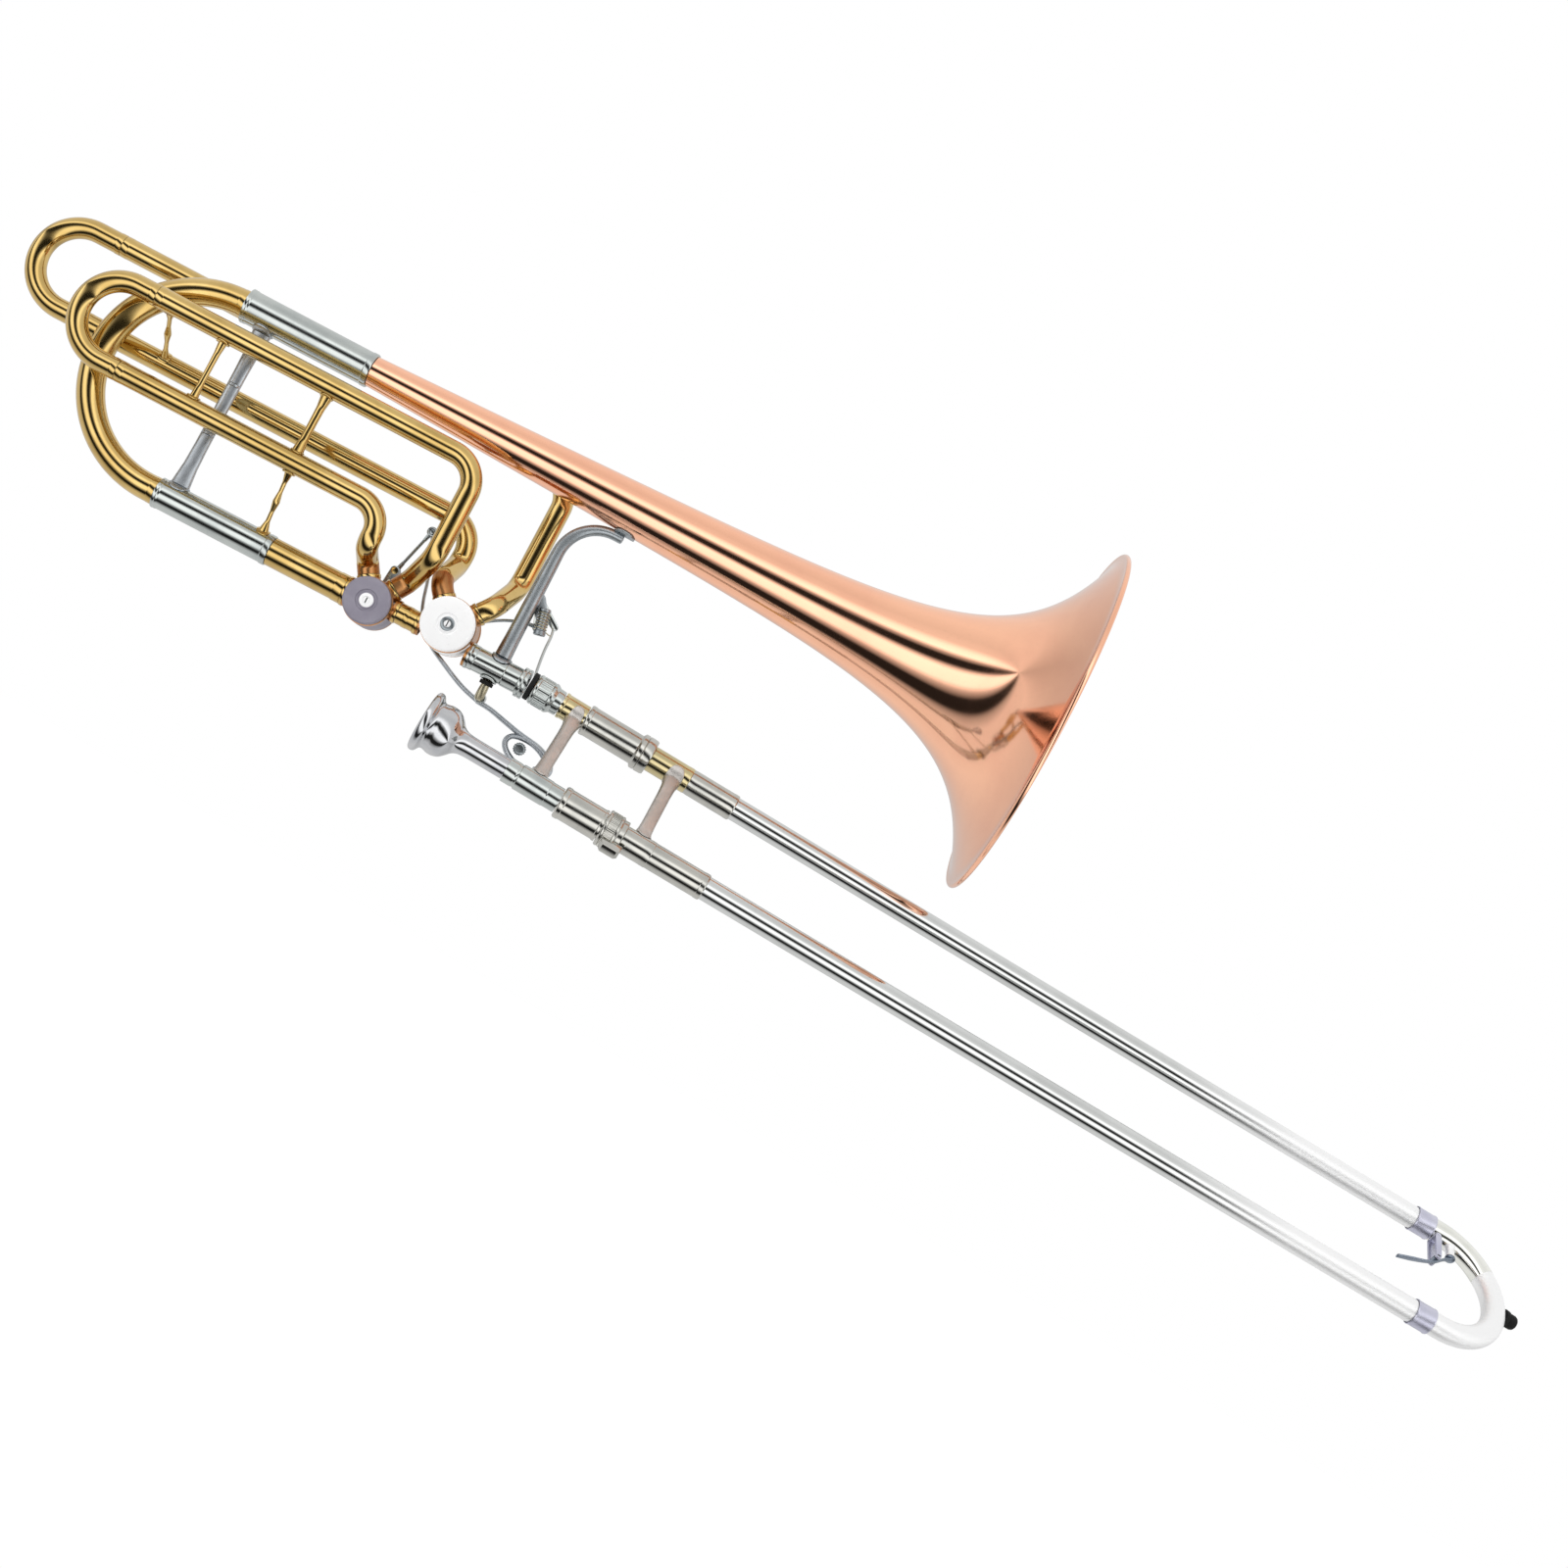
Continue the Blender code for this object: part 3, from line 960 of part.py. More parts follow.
def build_outer_slide():
    """The outer slide: two long tubes, grip sleeves, brace, bow, bumper and key seat."""
    lower = (0, LOWER_TUBE_Y, 0)
    bore = OUTER_RADIUS - OUTER_WALL
    for name, start in (("upper_outer_tube", (0, 0, 0)), ("lower_outer_tube", lower)):
        make(name, tube(OUTER_TUBE_X, OUTER_RADIUS, bore, start), CHROMED_TUBE, slide_frame)
    sleeve_bore = OUTER_RADIUS + GAP + 0.1
    start = GRIP_SLEEVE_START_X
    make("upper_grip_sleeve", tube((start, UPPER_SLEEVE_END_X), GRIP_SLEEVE_RADIUS, sleeve_bore),
         LACQUERED_BRASS, slide_frame)
    make("lower_grip_sleeve", tube((start, LOWER_SLEEVE_END_X), GRIP_SLEEVE_RADIUS, sleeve_bore, lower),
         NICKEL_SILVER, slide_frame)
    brace("outer_brace", OUTER_BRACE_X, GRIP_SLEEVE_RADIUS, GRIP_SLEEVE_RADIUS, COLLAR_WIDTH)
    for name, at in (("upper_bow_ferrule", (0, 0, 0)), ("lower_bow_ferrule", lower)):
        make(name, tube(FERRULE_X, FERRULE_RADIUS, sleeve_bore, at), NICKEL_SILVER, slide_frame)

    half = SLIDE_SPACING / 2
    bow = [(SLIDE_BOW_START_X, 0, 0)]
    bow += [(x, y, 0) for x, y in arc((SLIDE_BOW_CENTRE_X, -half), half, 90, -90, 8)]
    bow += [(SLIDE_BOW_START_X, LOWER_TUBE_Y, 0)]
    tip = (SLIDE_BOW_CENTRE_X + half + OUTER_RADIUS - 0.45, -half, 0)
    cup_end = BUMPER_CUP_LENGTH
    cup = [(0, 0), (0, BUMPER_RADIUS + 0.9), (cup_end, BUMPER_RADIUS + 0.9), (cup_end, BUMPER_RADIUS + 0.1),
           (1.4, BUMPER_RADIUS + 0.1), (1.4, 0)]
    pad_y = math.sqrt(half ** 2 - (KEY_PAD_X - SLIDE_BOW_CENTRE_X) ** 2) - half
    nipple_foot = OUTER_RADIUS - 0.8 - pad_y
    nipple_bore = NIPPLE_RADIUS - 1.2
    nipple = turned([(nipple_foot, nipple_bore), (nipple_foot, NIPPLE_RADIUS + 0.6),
                     (OUTER_RADIUS + 1.5, NIPPLE_RADIUS), (NIPPLE_TOP, NIPPLE_RADIUS),
                     (NIPPLE_TOP, nipple_bore)], (KEY_PAD_X, 0, 0), (0, -1, 0))
    make("slide_bow", pipe(bow, OUTER_RADIUS, bore), CHROMED_TUBE, slide_frame,
         add=[turned(cup, tip), nipple])
    shape = [(1.4 + GAP, 0), (1.4 + GAP, BUMPER_RADIUS - 0.3), (cup_end + 0.6, BUMPER_RADIUS - 0.3),
             (cup_end + 1.2, BUMPER_RADIUS), (BUMPER_LENGTH - 1.2, BUMPER_RADIUS),
             (BUMPER_LENGTH, BUMPER_RADIUS - 0.8), (BUMPER_LENGTH, 0)]
    make("bumper", turned(shape, tip), BLACK_RUBBER, slide_frame)


def build_water_key():
    """The post on the bow, and the sprung key that closes the nipple."""
    hinge = Vector((KEY_HINGE[0], -KEY_HINGE[1], 0))
    post_half = KEY_WIDTH / 2 + 2.4
    base = -(OUTER_RADIUS + GAP)
    strap = saddle(OUTER_RADIUS, 40, 6.0, (1, 0, 0), 1.2, (hinge.x, 0, 0), (0, -1, 0))
    walls = []
    for side in (-1, 1):
        low_z, high_z = sorted((side * (KEY_WIDTH / 2 + GAP), side * post_half))
        outline = ((-2.6, base + 0.3), (2.6, base + 0.3), (2.0, hinge.y - 1.8), (-2.0, hinge.y - 1.8))
        corners = [Vector((hinge.x + a, b, c)) for c in (low_z, high_z) for a, b in outline]
        faces = [(0, 1, 2, 3), (7, 6, 5, 4), (0, 4, 5, 1), (1, 5, 6, 2), (2, 6, 7, 3), (3, 7, 4, 0)]
        walls.append((corners, faces))
    pin = tube((-post_half + 0.4, post_half - 0.4), 1.0, 0, tuple(hinge), (0, 0, 1), 10)
    make("water_key_post", strap, NICKEL_SILVER, slide_frame, add=walls + [pin])

    pad = turned([(NIPPLE_TOP + GAP, 0), (NIPPLE_TOP + GAP, NIPPLE_RADIUS + 0.5),
                  (NIPPLE_TOP + 2.2, NIPPLE_RADIUS + 0.5), (NIPPLE_TOP + 2.8, NIPPLE_RADIUS - 0.4),
                  (NIPPLE_TOP + 2.8, 0)], (KEY_PAD_X, 0, 0), (0, -1, 0), 12)
    hub = tube((-KEY_WIDTH / 2, KEY_WIDTH / 2), 2.2, 0, tuple(hinge), (0, 0, 1), 12)
    hole = tube((-KEY_WIDTH, KEY_WIDTH), 1.0 + GAP, 0, tuple(hinge), (0, 0, 1), 10)
    strip = pipe([(x, -depth, 0) for x, depth in KEY_PATH], 0.9, sides=ROD_SIDES, across=(0, 0, 1),
                 flat=KEY_WIDTH / 1.8 * 0.8)
    make("water_key", strip, NICKEL_SILVER, slide_frame, tuple(hinge), add=[pad, hub], cut=[hole])


def build_lock_ring():
    """The ring that locks the outer slide when the slide is closed."""
    low, high = LOCK_RING_X
    bore = GRIP_SLEEVE_RADIUS + GAP + 0.2
    outline = [(low, bore), (low, LOCK_RING_RADIUS), (high - 4.0, LOCK_RING_RADIUS),
               (high - 3.0, LOCK_RING_RADIUS - 1.4), (high, LOCK_RING_RADIUS - 1.4), (high, bore)]
    centre = (0, LOWER_TUBE_Y, 0)
    reach = LOCK_RING_RADIUS + LOCK_LUG_LENGTH
    lug_start = low + 3.0
    lug_end = high + 3.0
    half = LOCK_LUG_WIDTH / 2
    low_y = LOWER_TUBE_Y - reach
    high_y = LOWER_TUBE_Y - bore - 1.2
    lug = ((lug_start, high_y), (lug_end, high_y), (lug_end, low_y + 2), (lug_end - 2, low_y),
           (lug_start + 2, low_y), (lug_start, low_y + 3))
    corners = [Vector((x, y, z)) for z in (-half, half) for x, y in lug]
    faces = [(0, 1, 2, 3, 4, 5), (11, 10, 9, 8, 7, 6)]
    faces += [(i, i + 6, (i + 1) % 6 + 6, (i + 1) % 6) for i in range(6)]
    make("slide_lock_ring", turned(outline, centre), NICKEL_SILVER, slide_frame, centre,
         add=[(corners, faces)])


def build_mouthpiece():
    """The mouthpiece: rim, cup, throat and tapered shank."""
    rim = MOUTHPIECE_RIM_X
    outer = MOUTHPIECE_RIM_RADIUS
    cup = MOUTHPIECE_CUP_RADIUS
    throat_x = rim + MOUTHPIECE_CUP_DEPTH
    bowl = []
    for number in range(1, 6):
        share = number / 6
        radius = MOUTHPIECE_THROAT_RADIUS + (cup - MOUTHPIECE_THROAT_RADIUS) * math.cos(share * math.pi / 2)
        bowl.append((rim + 2.0 + (throat_x - rim - 2.0) * share, radius))
    end = MOUTHPIECE_SHANK_END_X
    outline = [(end, SHANK_RADIUS - 1.6), (throat_x, MOUTHPIECE_THROAT_RADIUS)]
    outline += list(reversed(bowl))
    outline += [(rim + 2.0, cup), (rim + 0.4, cup + 1.6), (rim, cup + 3.2), (rim + 0.6, outer - 1.2),
                (rim + 2.2, outer), (rim + 4.4, outer - 0.6), (rim + 6.0, outer - 3.2)]
    outline += [(rim + depth, radius) for depth, radius in MOUTHPIECE_BACK]
    seat_x = HOLDER_X[0] - GAP
    outline += [(seat_x, SHANK_RADIUS + 1.1), (seat_x, SHANK_RADIUS), (end, SHANK_RADIUS)]
    make("mouthpiece", turned(outline, (0, LOWER_TUBE_Y, 0), sides=14), CHROMED_TUBE, slide_frame,
         (0, LOWER_TUBE_Y, 0))


build_bell()
build_main_line()
build_valve("f_valve", F_VALVE, (VALVE_LINK_RISE, 0), (VALVE_LINK_RADIUS, RECEIVER_RADIUS), BRIGHT_CAP)
build_valve("g_valve", G_VALVE, (0, VALVE_LINK_RISE), (GOOSENECK_RADIUS, VALVE_LINK_RADIUS), GREY_CAP)
rotor_arm("f_rotor_arm", F_VALVE, F_ARM_LENGTH, F_ARM_ANGLE)
rotor_arm("g_rotor_arm", G_VALVE, G_ARM_LENGTH, G_ARM_ANGLE)
link_rod("f_link", THUMB_ARM_END, arm_end(F_VALVE, F_ARM_LENGTH, F_ARM_ANGLE), 5.0)
link_rod("g_link", FINGER_ARM_END, arm_end(G_VALVE, G_ARM_LENGTH, G_ARM_ANGLE), 0.0)
build_thumb_trigger()
build_finger_trigger()
build_loops()
build_tuning_slides()
build_braces()
build_hand_brace()
build_joint()
build_inner_slide()
build_outer_slide()
build_water_key()
build_lock_ring()
build_mouthpiece()
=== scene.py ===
# Looks of the bass trombone: finely turned and drawn copies of its pieces, their metals, the
# springs, screws and knurls that the solids leave out, and the studio that it is seen in.
#
# Places and sizes are in millimetres, in the frames of the bell section and of the hand slide,
# as in the part's source. Meshes are written in metres in the row's frame.

import math

import bmesh
import bpy
from mathutils import Euler, Matrix, Vector


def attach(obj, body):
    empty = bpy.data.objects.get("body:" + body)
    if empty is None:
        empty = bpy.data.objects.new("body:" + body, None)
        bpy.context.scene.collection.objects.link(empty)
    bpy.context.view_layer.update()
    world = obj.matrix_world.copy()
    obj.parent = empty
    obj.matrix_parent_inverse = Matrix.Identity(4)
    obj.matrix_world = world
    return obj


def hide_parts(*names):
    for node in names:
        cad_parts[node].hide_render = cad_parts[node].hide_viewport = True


MM = 0.001
FINE = 56
BEND_STEP = 5.0
SHARP_ANGLE = 38.0
ALONG = Vector((1, 0, 0))
ACROSS = Vector((0, 1, 0))
UP = Vector((0, 0, 1))

# How the bell section and the hand slide stand, in degrees
BELL_RISE = 3.4
BELL_TURN = 3.0
SLIDE_ROLL = 37.6

# The camera: place in metres, turn in degrees, lens in millimetres. The floor: height in metres
CAMERA_PLACE = (0.04060, -1.44310, -0.03678)
CAMERA_TURN = (93.1014, -30.9174, -6.402)
CAMERA_LENS = 51.13
FLOOR_HEIGHT = -0.66

# The studio in polished metal: brightness on the way round the object, from behind it, under it,
# in front and over it to behind again, and how far these bands lean with X, so that upright tubes
# show them too
STUDIO_BANDS = ((0.0, 0.60), (0.05, 0.68), (0.14, 0.88), (0.25, 0.85), (0.288, 0.45), (0.307, 0.02),
                (0.352, 0.02), (0.38, 0.60), (0.405, 1.60), (0.46, 1.72), (0.48, 0.60), (0.493, 0.02),
                (0.528, 0.02), (0.55, 0.60), (0.57, 1.80), (0.60, 1.60), (0.635, 0.95), (0.70, 0.85),
                (0.80, 0.95), (0.90, 0.90), (0.965, 0.70), (1.0, 0.60))
STUDIO_LEAN = 0.32

# Bell
BELL_SPACING = 133.0
BELL_MOUTH_X = 290.0
BELL_TAIL_X = -194.6
BELL_TAIL_RADIUS = 10.2
BELL_TAPER = 0.0354
BELL_FLARE = ((60.0, 55.0), (33.0, 18.0))
BELL_WALL = 1.2
BELL_BEAD = 1.7
BELL_STEPS = 90
BELL_CROWDING = 2.2

# Main tuning slide and main line, with the gap between soldered pieces and that round sliding legs
JOIN_GAP = 0.35
SLIDING_GAP = 0.45
UPPER_SLEEVE_X = (-285.0, -195.0)
UPPER_SLEEVE_RADIUS = 11.2
LOWER_SLEEVE_X = (-279.0, -198.0)
LOWER_SLEEVE_RADIUS = 9.9
MAIN_BOW_RADIUS = 9.2
LOWER_LEG_RADIUS = 8.5
MAIN_LEG_LENGTH = 76.0
SLIDE_BRACE_X = -268.5
GOOSENECK_X = (-197.6, -144.65)
GOOSENECK_RADIUS = 9.8
VALVE_LINK_X = (-107.35, -94.95)
VALVE_LINK_RADIUS = 7.4
VALVE_LINK_RISE = 3.0
RECEIVER_X = (-53.2, -13.5)
RECEIVER_RADIUS = 8.4
RECEIVER_BORE = 7.3

# Valves
F_VALVE = {"x": -74.0, "z": 10.5, "radius": 18.2, "ports": (130.0, 52.0)}
G_VALVE = {"x": -126.0, "z": 0.0, "radius": 15.9, "ports": (122.0, 58.0)}
CASING_HALF_DEPTH = 17.0
CASING_WALL = 2.5
STUB_LENGTH = 2.4
STUB_WALL = 1.2
LIP_LENGTH = 2.0
PORT_RADIUS = 7.4
PORT_COLLAR_RADIUS = 7.7
PORT_BORE = 6.2
CAP_DEPTH = 4.8
PLATE_DEPTH = 3.2

# Loops, and how many points of some tubes' paths stay rust brown, next to their valves
LOOP_RADIUS = 7.2
LOOP_LEG_RADIUS = 6.0
LOOP_LEG_LENGTH = 70.0
LOOP_CORNER = BELL_SPACING * 0.15
F_LOOP = {"y": 26.0, "top": BELL_SPACING, "low": BELL_SPACING * 0.579, "end": -380.0, "bow": -398.5}
G_LOOP = {"y": -20.0, "top": BELL_SPACING * 0.823, "low": BELL_SPACING * 0.421, "end": -331.0, "bow": -344.5}
COPPER_RUNS = {"f_loop_low_tube": 12, "g_loop_low_tube": 8, "g_loop_top_tube": 6}
LOOP_BRACES_X = {"left": -282.0, "right": -208.5}
LOOP_POST_X = -207.5
LOOP_TIE_X = -322.0

# Linkage layers behind the valves, and the two triggers
ARM_LAYER = (21.15, 24.15)
LINK_LAYER = (24.75, 26.95)
LEVER_LAYER = (27.55, 30.15)
THUMB_PIVOT = (-33.0, 53.0)
THUMB_ARM_END = (-27.0, 37.5)
THUMB_PADDLE_ROOT = (-16.4, 42.3)
BARREL_TOP = Vector((-25.8, 2.5, 49.5))
BARREL_END = Vector((-21.8, 2.5, 32.0))
AXLE_RADIUS = 2.15
PIN_RADIUS = 1.6
FINGER_SCROLL = Vector((7.5, 10.0, -40.3))
FINGER_SCROLL_SIZE = (17.5, 8.8)
FINGER_SCROLL_TILT = math.radians(-12.0)
FINGER_KNOB = Vector((0.8, 10.0, -38.6))
FINGER_PIVOT = (-37.0, -21.0)
FINGER_ARM_END = (-117.0, 61.0)
F_ARM = (7.0, 50.0)
G_ARM = (27.0, 90.0)

# Hand brace
HAND_BRACE_X = -35.5
HAND_BRACE_TOP_X = -3.0
HAND_BRACE_BEND = 27.0
HAND_BRACE_DROP = 3.55

# Hand slide
SLIDE_SPACING = 87.0
OUTER_RADIUS = 7.9
OUTER_TUBE_X = (63.0, 687.0)
SLIDE_WALL = 0.5
INNER_RADIUS = 6.8
INNER_TUBES_X = {"upper": -7.5, "lower": 27.0}
INNER_TUBE_END_X = 650.0
SLIDE_BOW_X = 688.4
SLIDE_BOW_CENTRE_X = 694.5
GRIP_RADIUS = 8.8
INNER_BRACE_X = 24.0
OUTER_BRACE_X = 98.0
KEY_PAD_X = 704.0
KEY_HINGE = (691.8, 27.5)
NIPPLE_TOP = 16.5
MOUTHPIECE_RIM_X = -54.0

BELL = Euler((0, math.radians(-BELL_RISE), math.radians(-BELL_TURN))).to_matrix().to_4x4()
SLIDE = Euler((math.radians(SLIDE_ROLL), 0, 0)).to_matrix().to_4x4()
ORIGIN = Vector((0, 0, 0))
LOWER = ACROSS * -SLIDE_SPACING
STEM = UP * BELL_SPACING

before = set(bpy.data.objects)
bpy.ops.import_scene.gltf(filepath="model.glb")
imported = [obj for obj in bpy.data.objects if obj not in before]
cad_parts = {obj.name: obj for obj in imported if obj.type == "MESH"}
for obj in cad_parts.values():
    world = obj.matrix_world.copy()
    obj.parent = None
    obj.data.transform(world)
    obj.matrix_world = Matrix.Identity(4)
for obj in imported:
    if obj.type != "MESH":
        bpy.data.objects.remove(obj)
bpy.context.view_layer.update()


def plug(tree, sockets, values):
    """Gives each named input its value, or links it to another node's output."""
    for key, value in values.items():
        if isinstance(value, bpy.types.NodeSocket):
            tree.links.new(value, sockets[key])
        else:
            sockets[key].default_value = value


def add_node(tree, kind, inputs=None, **settings):
    """A node with its settings and inputs."""
    node = tree.nodes.new(kind)
    for key, value in settings.items():
        setattr(node, key, value)
    plug(tree, node.inputs, inputs or {})
    return node


def output_of(tree, kind, inputs=None, output=0, **settings):
    """The first output of a new node, or the one that is named."""
    return add_node(tree, kind, inputs, **settings).outputs[output]


def ranged(tree, value, source=(0.0, 1.0), target=(0.0, 1.0)):
    """A value brought from one range into another."""
    return output_of(tree, "ShaderNodeMapRange",
                     {"Value": value, "From Min": source[0], "From Max": source[1],
                      "To Min": target[0], "To Max": target[1]})


def product(tree, first, second):
    """Two values multiplied."""
    return output_of(tree, "ShaderNodeMath", {0: first, 1: second}, operation="MULTIPLY")


def colour_mix(tree, factor, first, second):
    """A colour between two."""
    return output_of(tree, "ShaderNodeMix", {"Factor": factor, "A": first, "B": second}, "Result",
                     data_type="RGBA")


def shader_mix(tree, factor, first, second):
    """A shader between two."""
    return output_of(tree, "ShaderNodeMixShader", {0: factor, 1: first, 2: second})


def new_group(name, numbers, outputs=(), grows=False):
    """A node group with named numbers in, and the sockets at its start and at its end.

    One that grows a mesh takes a path and a material too, and gives a mesh.
    """
    group = bpy.data.node_groups.new(name, "GeometryNodeTree" if grows else "ShaderNodeTree")

    def add_socket(label, side, kind):
        return group.interface.new_socket(label, in_out=side, socket_type="NodeSocket" + kind)

    if grows:
        add_socket("Geometry", "INPUT", "Geometry")
        add_socket("Material", "INPUT", "Material")
        add_socket("Geometry", "OUTPUT", "Geometry")
    for label, value in numbers.items():
        add_socket(label, "INPUT", "Int" if isinstance(value, int) else "Float").default_value = value
    for label in outputs:
        add_socket(label, "OUTPUT", "Float")
    return group, group.nodes.new("NodeGroupInput").outputs, group.nodes.new("NodeGroupOutput").inputs


def handling_group():
    """Soft blotches of breath and fingers over a polished surface, and fine specks in them."""
    tree, start, end = new_group("handled_polish", {"Blotch Scale": 30.0, "Speck Scale": 900.0},
                                 ("Blotches", "Specks"))
    place = output_of(tree, "ShaderNodeTexCoord", output="Object")
    wide = output_of(tree, "ShaderNodeTexNoise",
                     {"Vector": place, "Scale": start["Blotch Scale"], "Detail": 4.0, "Roughness": 0.6,
                      "Distortion": 0.6})
    fine = output_of(tree, "ShaderNodeTexNoise",
                     {"Vector": place, "Scale": start["Speck Scale"], "Detail": 2.0})
    plug(tree, end, {"Blotches": ranged(tree, wide, (0.38, 0.66)),
                     "Specks": ranged(tree, fine, (0.62, 0.74))})
    return tree


def draw_line_group():
    """Hairlines left by drawing and buffing, along the object's length or round its tubes."""
    tree, start, end = new_group("draw_lines", {"Along": 6.0, "Across": 1400.0}, ("Lines",))
    place = output_of(tree, "ShaderNodeTexCoord", output="Object")
    stretch = output_of(tree, "ShaderNodeCombineXYZ",
                        {"X": start["Along"], "Y": start["Across"], "Z": start["Across"]})
    mapped = output_of(tree, "ShaderNodeVectorMath", {0: place, 1: stretch}, operation="MULTIPLY")
    lines = output_of(tree, "ShaderNodeTexNoise", {"Vector": mapped, "Scale": 1.0, "Detail": 3.0})
    plug(tree, end, {"Lines": lines})
    return tree


# The near white of the painted reflection that fade blends in, and the satin roughness there
PAINTED_SHEEN_COLOUR = (0.98, 0.98, 0.98, 1)
PALE_ROUGHNESS = 0.50
COAT_ROUGHNESS = 0.04
FLECK_SHADE = 0.72
LINE_DEPTH = 0.00004
HANDLED = handling_group()
DRAWN = draw_line_group()


def metal(name, colour, deep, rough, rough_spread=0.08, coat=0.0, lines=0.02, along=6.0,
          across=1400.0, blotch=30.0, speck=0.25, metallic=1.0, specular=0.5, fade=None):
    """A metal whose tone and gloss vary with handling, with hairlines in its surface.

    fade gives the two places along X, in metres, between which it turns pale and satin; the pale is a painted
    reflection.
    """
    material = bpy.data.materials.new(name)
    material.use_nodes = True
    tree = material.node_tree
    handled = add_node(tree, "ShaderNodeGroup", {"Blotch Scale": blotch}, node_tree=HANDLED).outputs
    tone = colour_mix(tree, handled["Blotches"], (*colour, 1), (*deep, 1))
    base = colour_mix(tree, product(tree, handled["Specks"], speck), tone,
                      (*[channel * FLECK_SHADE for channel in deep], 1))
    gloss = ranged(tree, handled["Blotches"], target=(rough, rough + rough_spread))
    # Painted reflection: along X the colour is blended to near white, standing for a bright sheen of light
    if fade:
        place = output_of(tree, "ShaderNodeTexCoord", output="Object")
        painted_sheen = ranged(tree, output_of(tree, "ShaderNodeSeparateXYZ", {"Vector": place}), fade)
        base = colour_mix(tree, painted_sheen, base, PAINTED_SHEEN_COLOUR)
        gloss = ranged(tree, painted_sheen, target=(gloss, PALE_ROUGHNESS))
    drawn_lines = output_of(tree, "ShaderNodeGroup", {"Along": along, "Across": across}, node_tree=DRAWN)
    bump = output_of(tree, "ShaderNodeBump",
                     {"Height": drawn_lines, "Strength": lines, "Distance": LINE_DEPTH})
    plug(tree, tree.nodes["Principled BSDF"].inputs,
         {"Metallic": metallic, "Specular IOR Level": specular, "Coat Weight": coat,
          "Coat Roughness": COAT_ROUGHNESS, "Base Color": base, "Roughness": gloss, "Normal": bump})
    return material


YELLOW_BRASS = metal("lacquered_yellow_brass", (0.67, 0.47, 0.17), (0.54, 0.36, 0.11), 0.09, 0.05,
                     coat=0.45, blotch=24.0)
ROSE_BRASS = metal("lacquered_rose_brass", (1.0, 0.54, 0.35), (0.95, 0.49, 0.32), 0.07, 0.05,
                   coat=0.25, blotch=14.0)
RED_BRASS = metal("red_brass_casting", (0.56, 0.27, 0.10), (0.42, 0.19, 0.07), 0.24, blotch=60.0)
OLIVE_BRASS = metal("pale_olive_brass", (0.63, 0.53, 0.29), (0.52, 0.44, 0.24), 0.10, 0.05,
                    coat=0.25, blotch=40.0)
NICKEL = metal("polished_nickel_silver", (0.53, 0.56, 0.54), (0.44, 0.47, 0.46), 0.11, 0.06,
               lines=0.04, blotch=40.0)
GRIP_NICKEL = metal("worn_nickel_silver", (0.54, 0.53, 0.49), (0.45, 0.45, 0.42), 0.11, 0.07,
                    lines=0.05, blotch=55.0)
STAY_NICKEL = metal("matt_nickel_stay", (0.66, 0.63, 0.60), (0.56, 0.53, 0.50), 0.36, 0.10,
                    lines=0.04, blotch=60.0, speck=0.08)
BLUE_STAY = metal("blue_grey_stay", (0.52, 0.55, 0.58), (0.43, 0.46, 0.49), 0.30, 0.10,
                  lines=0.04, blotch=60.0, speck=0.08)
# Its fade towards the bow paints in a pale reflection
PLATE = metal("bright_slide_plating", (0.68, 0.69, 0.68), (0.60, 0.61, 0.60), 0.07, 0.04,
              blotch=20.0, fade=(0.48, 0.58))
GUARD = metal("bow_guard_plating", (0.88, 0.88, 0.83), (0.78, 0.79, 0.73), 0.10, 0.04, blotch=40.0)
BRACE_NICKEL = metal("brushed_nickel_brace", (0.42, 0.45, 0.47), (0.31, 0.34, 0.36), 0.30, 0.10,
                     blotch=45.0)
WIRE = metal("spring_wire", (0.52, 0.47, 0.33), (0.34, 0.31, 0.22), 0.24)
KEY_NICKEL = metal("blue_grey_key_plate", (0.34, 0.38, 0.44), (0.22, 0.26, 0.32), 0.22)
FERRULE = metal("blued_nickel_ferrule", (0.66, 0.66, 0.76), (0.56, 0.56, 0.68), 0.34,
                lines=0.06, along=900.0, across=40.0)
SILVER = metal("silver_plate", (0.60, 0.60, 0.61), (0.48, 0.49, 0.51), 0.06, 0.06, blotch=60.0)
STEEL = metal("satin_steel", (0.38, 0.42, 0.43), (0.28, 0.31, 0.33), 0.22, 0.10, lines=0.06)
GREY_CAP = metal("grey_valve_cap", (0.34, 0.32, 0.38), (0.28, 0.26, 0.32), 0.50, 0.10,
                 lines=0.10, along=500.0, across=500.0, metallic=0.5)
# Pure white and not metallic: a painted highlight, standing for a nickel cap washed out by bright light
WHITE_CAP = metal("bright_valve_cap", (1.0, 1.0, 1.0), (0.96, 0.96, 0.96), 0.55, 0.06,
                  lines=0.05, along=500.0, across=500.0, metallic=0.0)
# Black rubber, and also the painted shade of the screw slots
RUBBER_AND_SLOT_SHADE = metal("black_rubber", (0.008, 0.008, 0.008), (0.016, 0.016, 0.015), 0.55, 0.15,
               lines=0.3, along=900.0, across=900.0, metallic=0.0, specular=0.15)
CORK = metal("pressed_cork", (0.52, 0.36, 0.20), (0.36, 0.23, 0.12), 0.80, 0.10, lines=0.5,
             along=700.0, across=700.0, blotch=600.0, metallic=0.0)


def circle(count, start=0.0):
    """Angles of the corners of a ring."""
    return [start + 2 * math.pi * index / count for index in range(count)]


def arc(centre, radius, start_degrees, end_degrees, count):
    """Points of an arc in a plane of two coordinates."""
    points = []
    for number in range(count + 1):
        angle = math.radians(start_degrees + (end_degrees - start_degrees) * number / count)
        points.append((centre[0] + radius * math.cos(angle), centre[1] + radius * math.sin(angle)))
    return points


def at_depth(place, y=0):
    """A point of the valves' plane, given as (x, z), at a depth."""
    return Vector((place[0], y, place[1]))


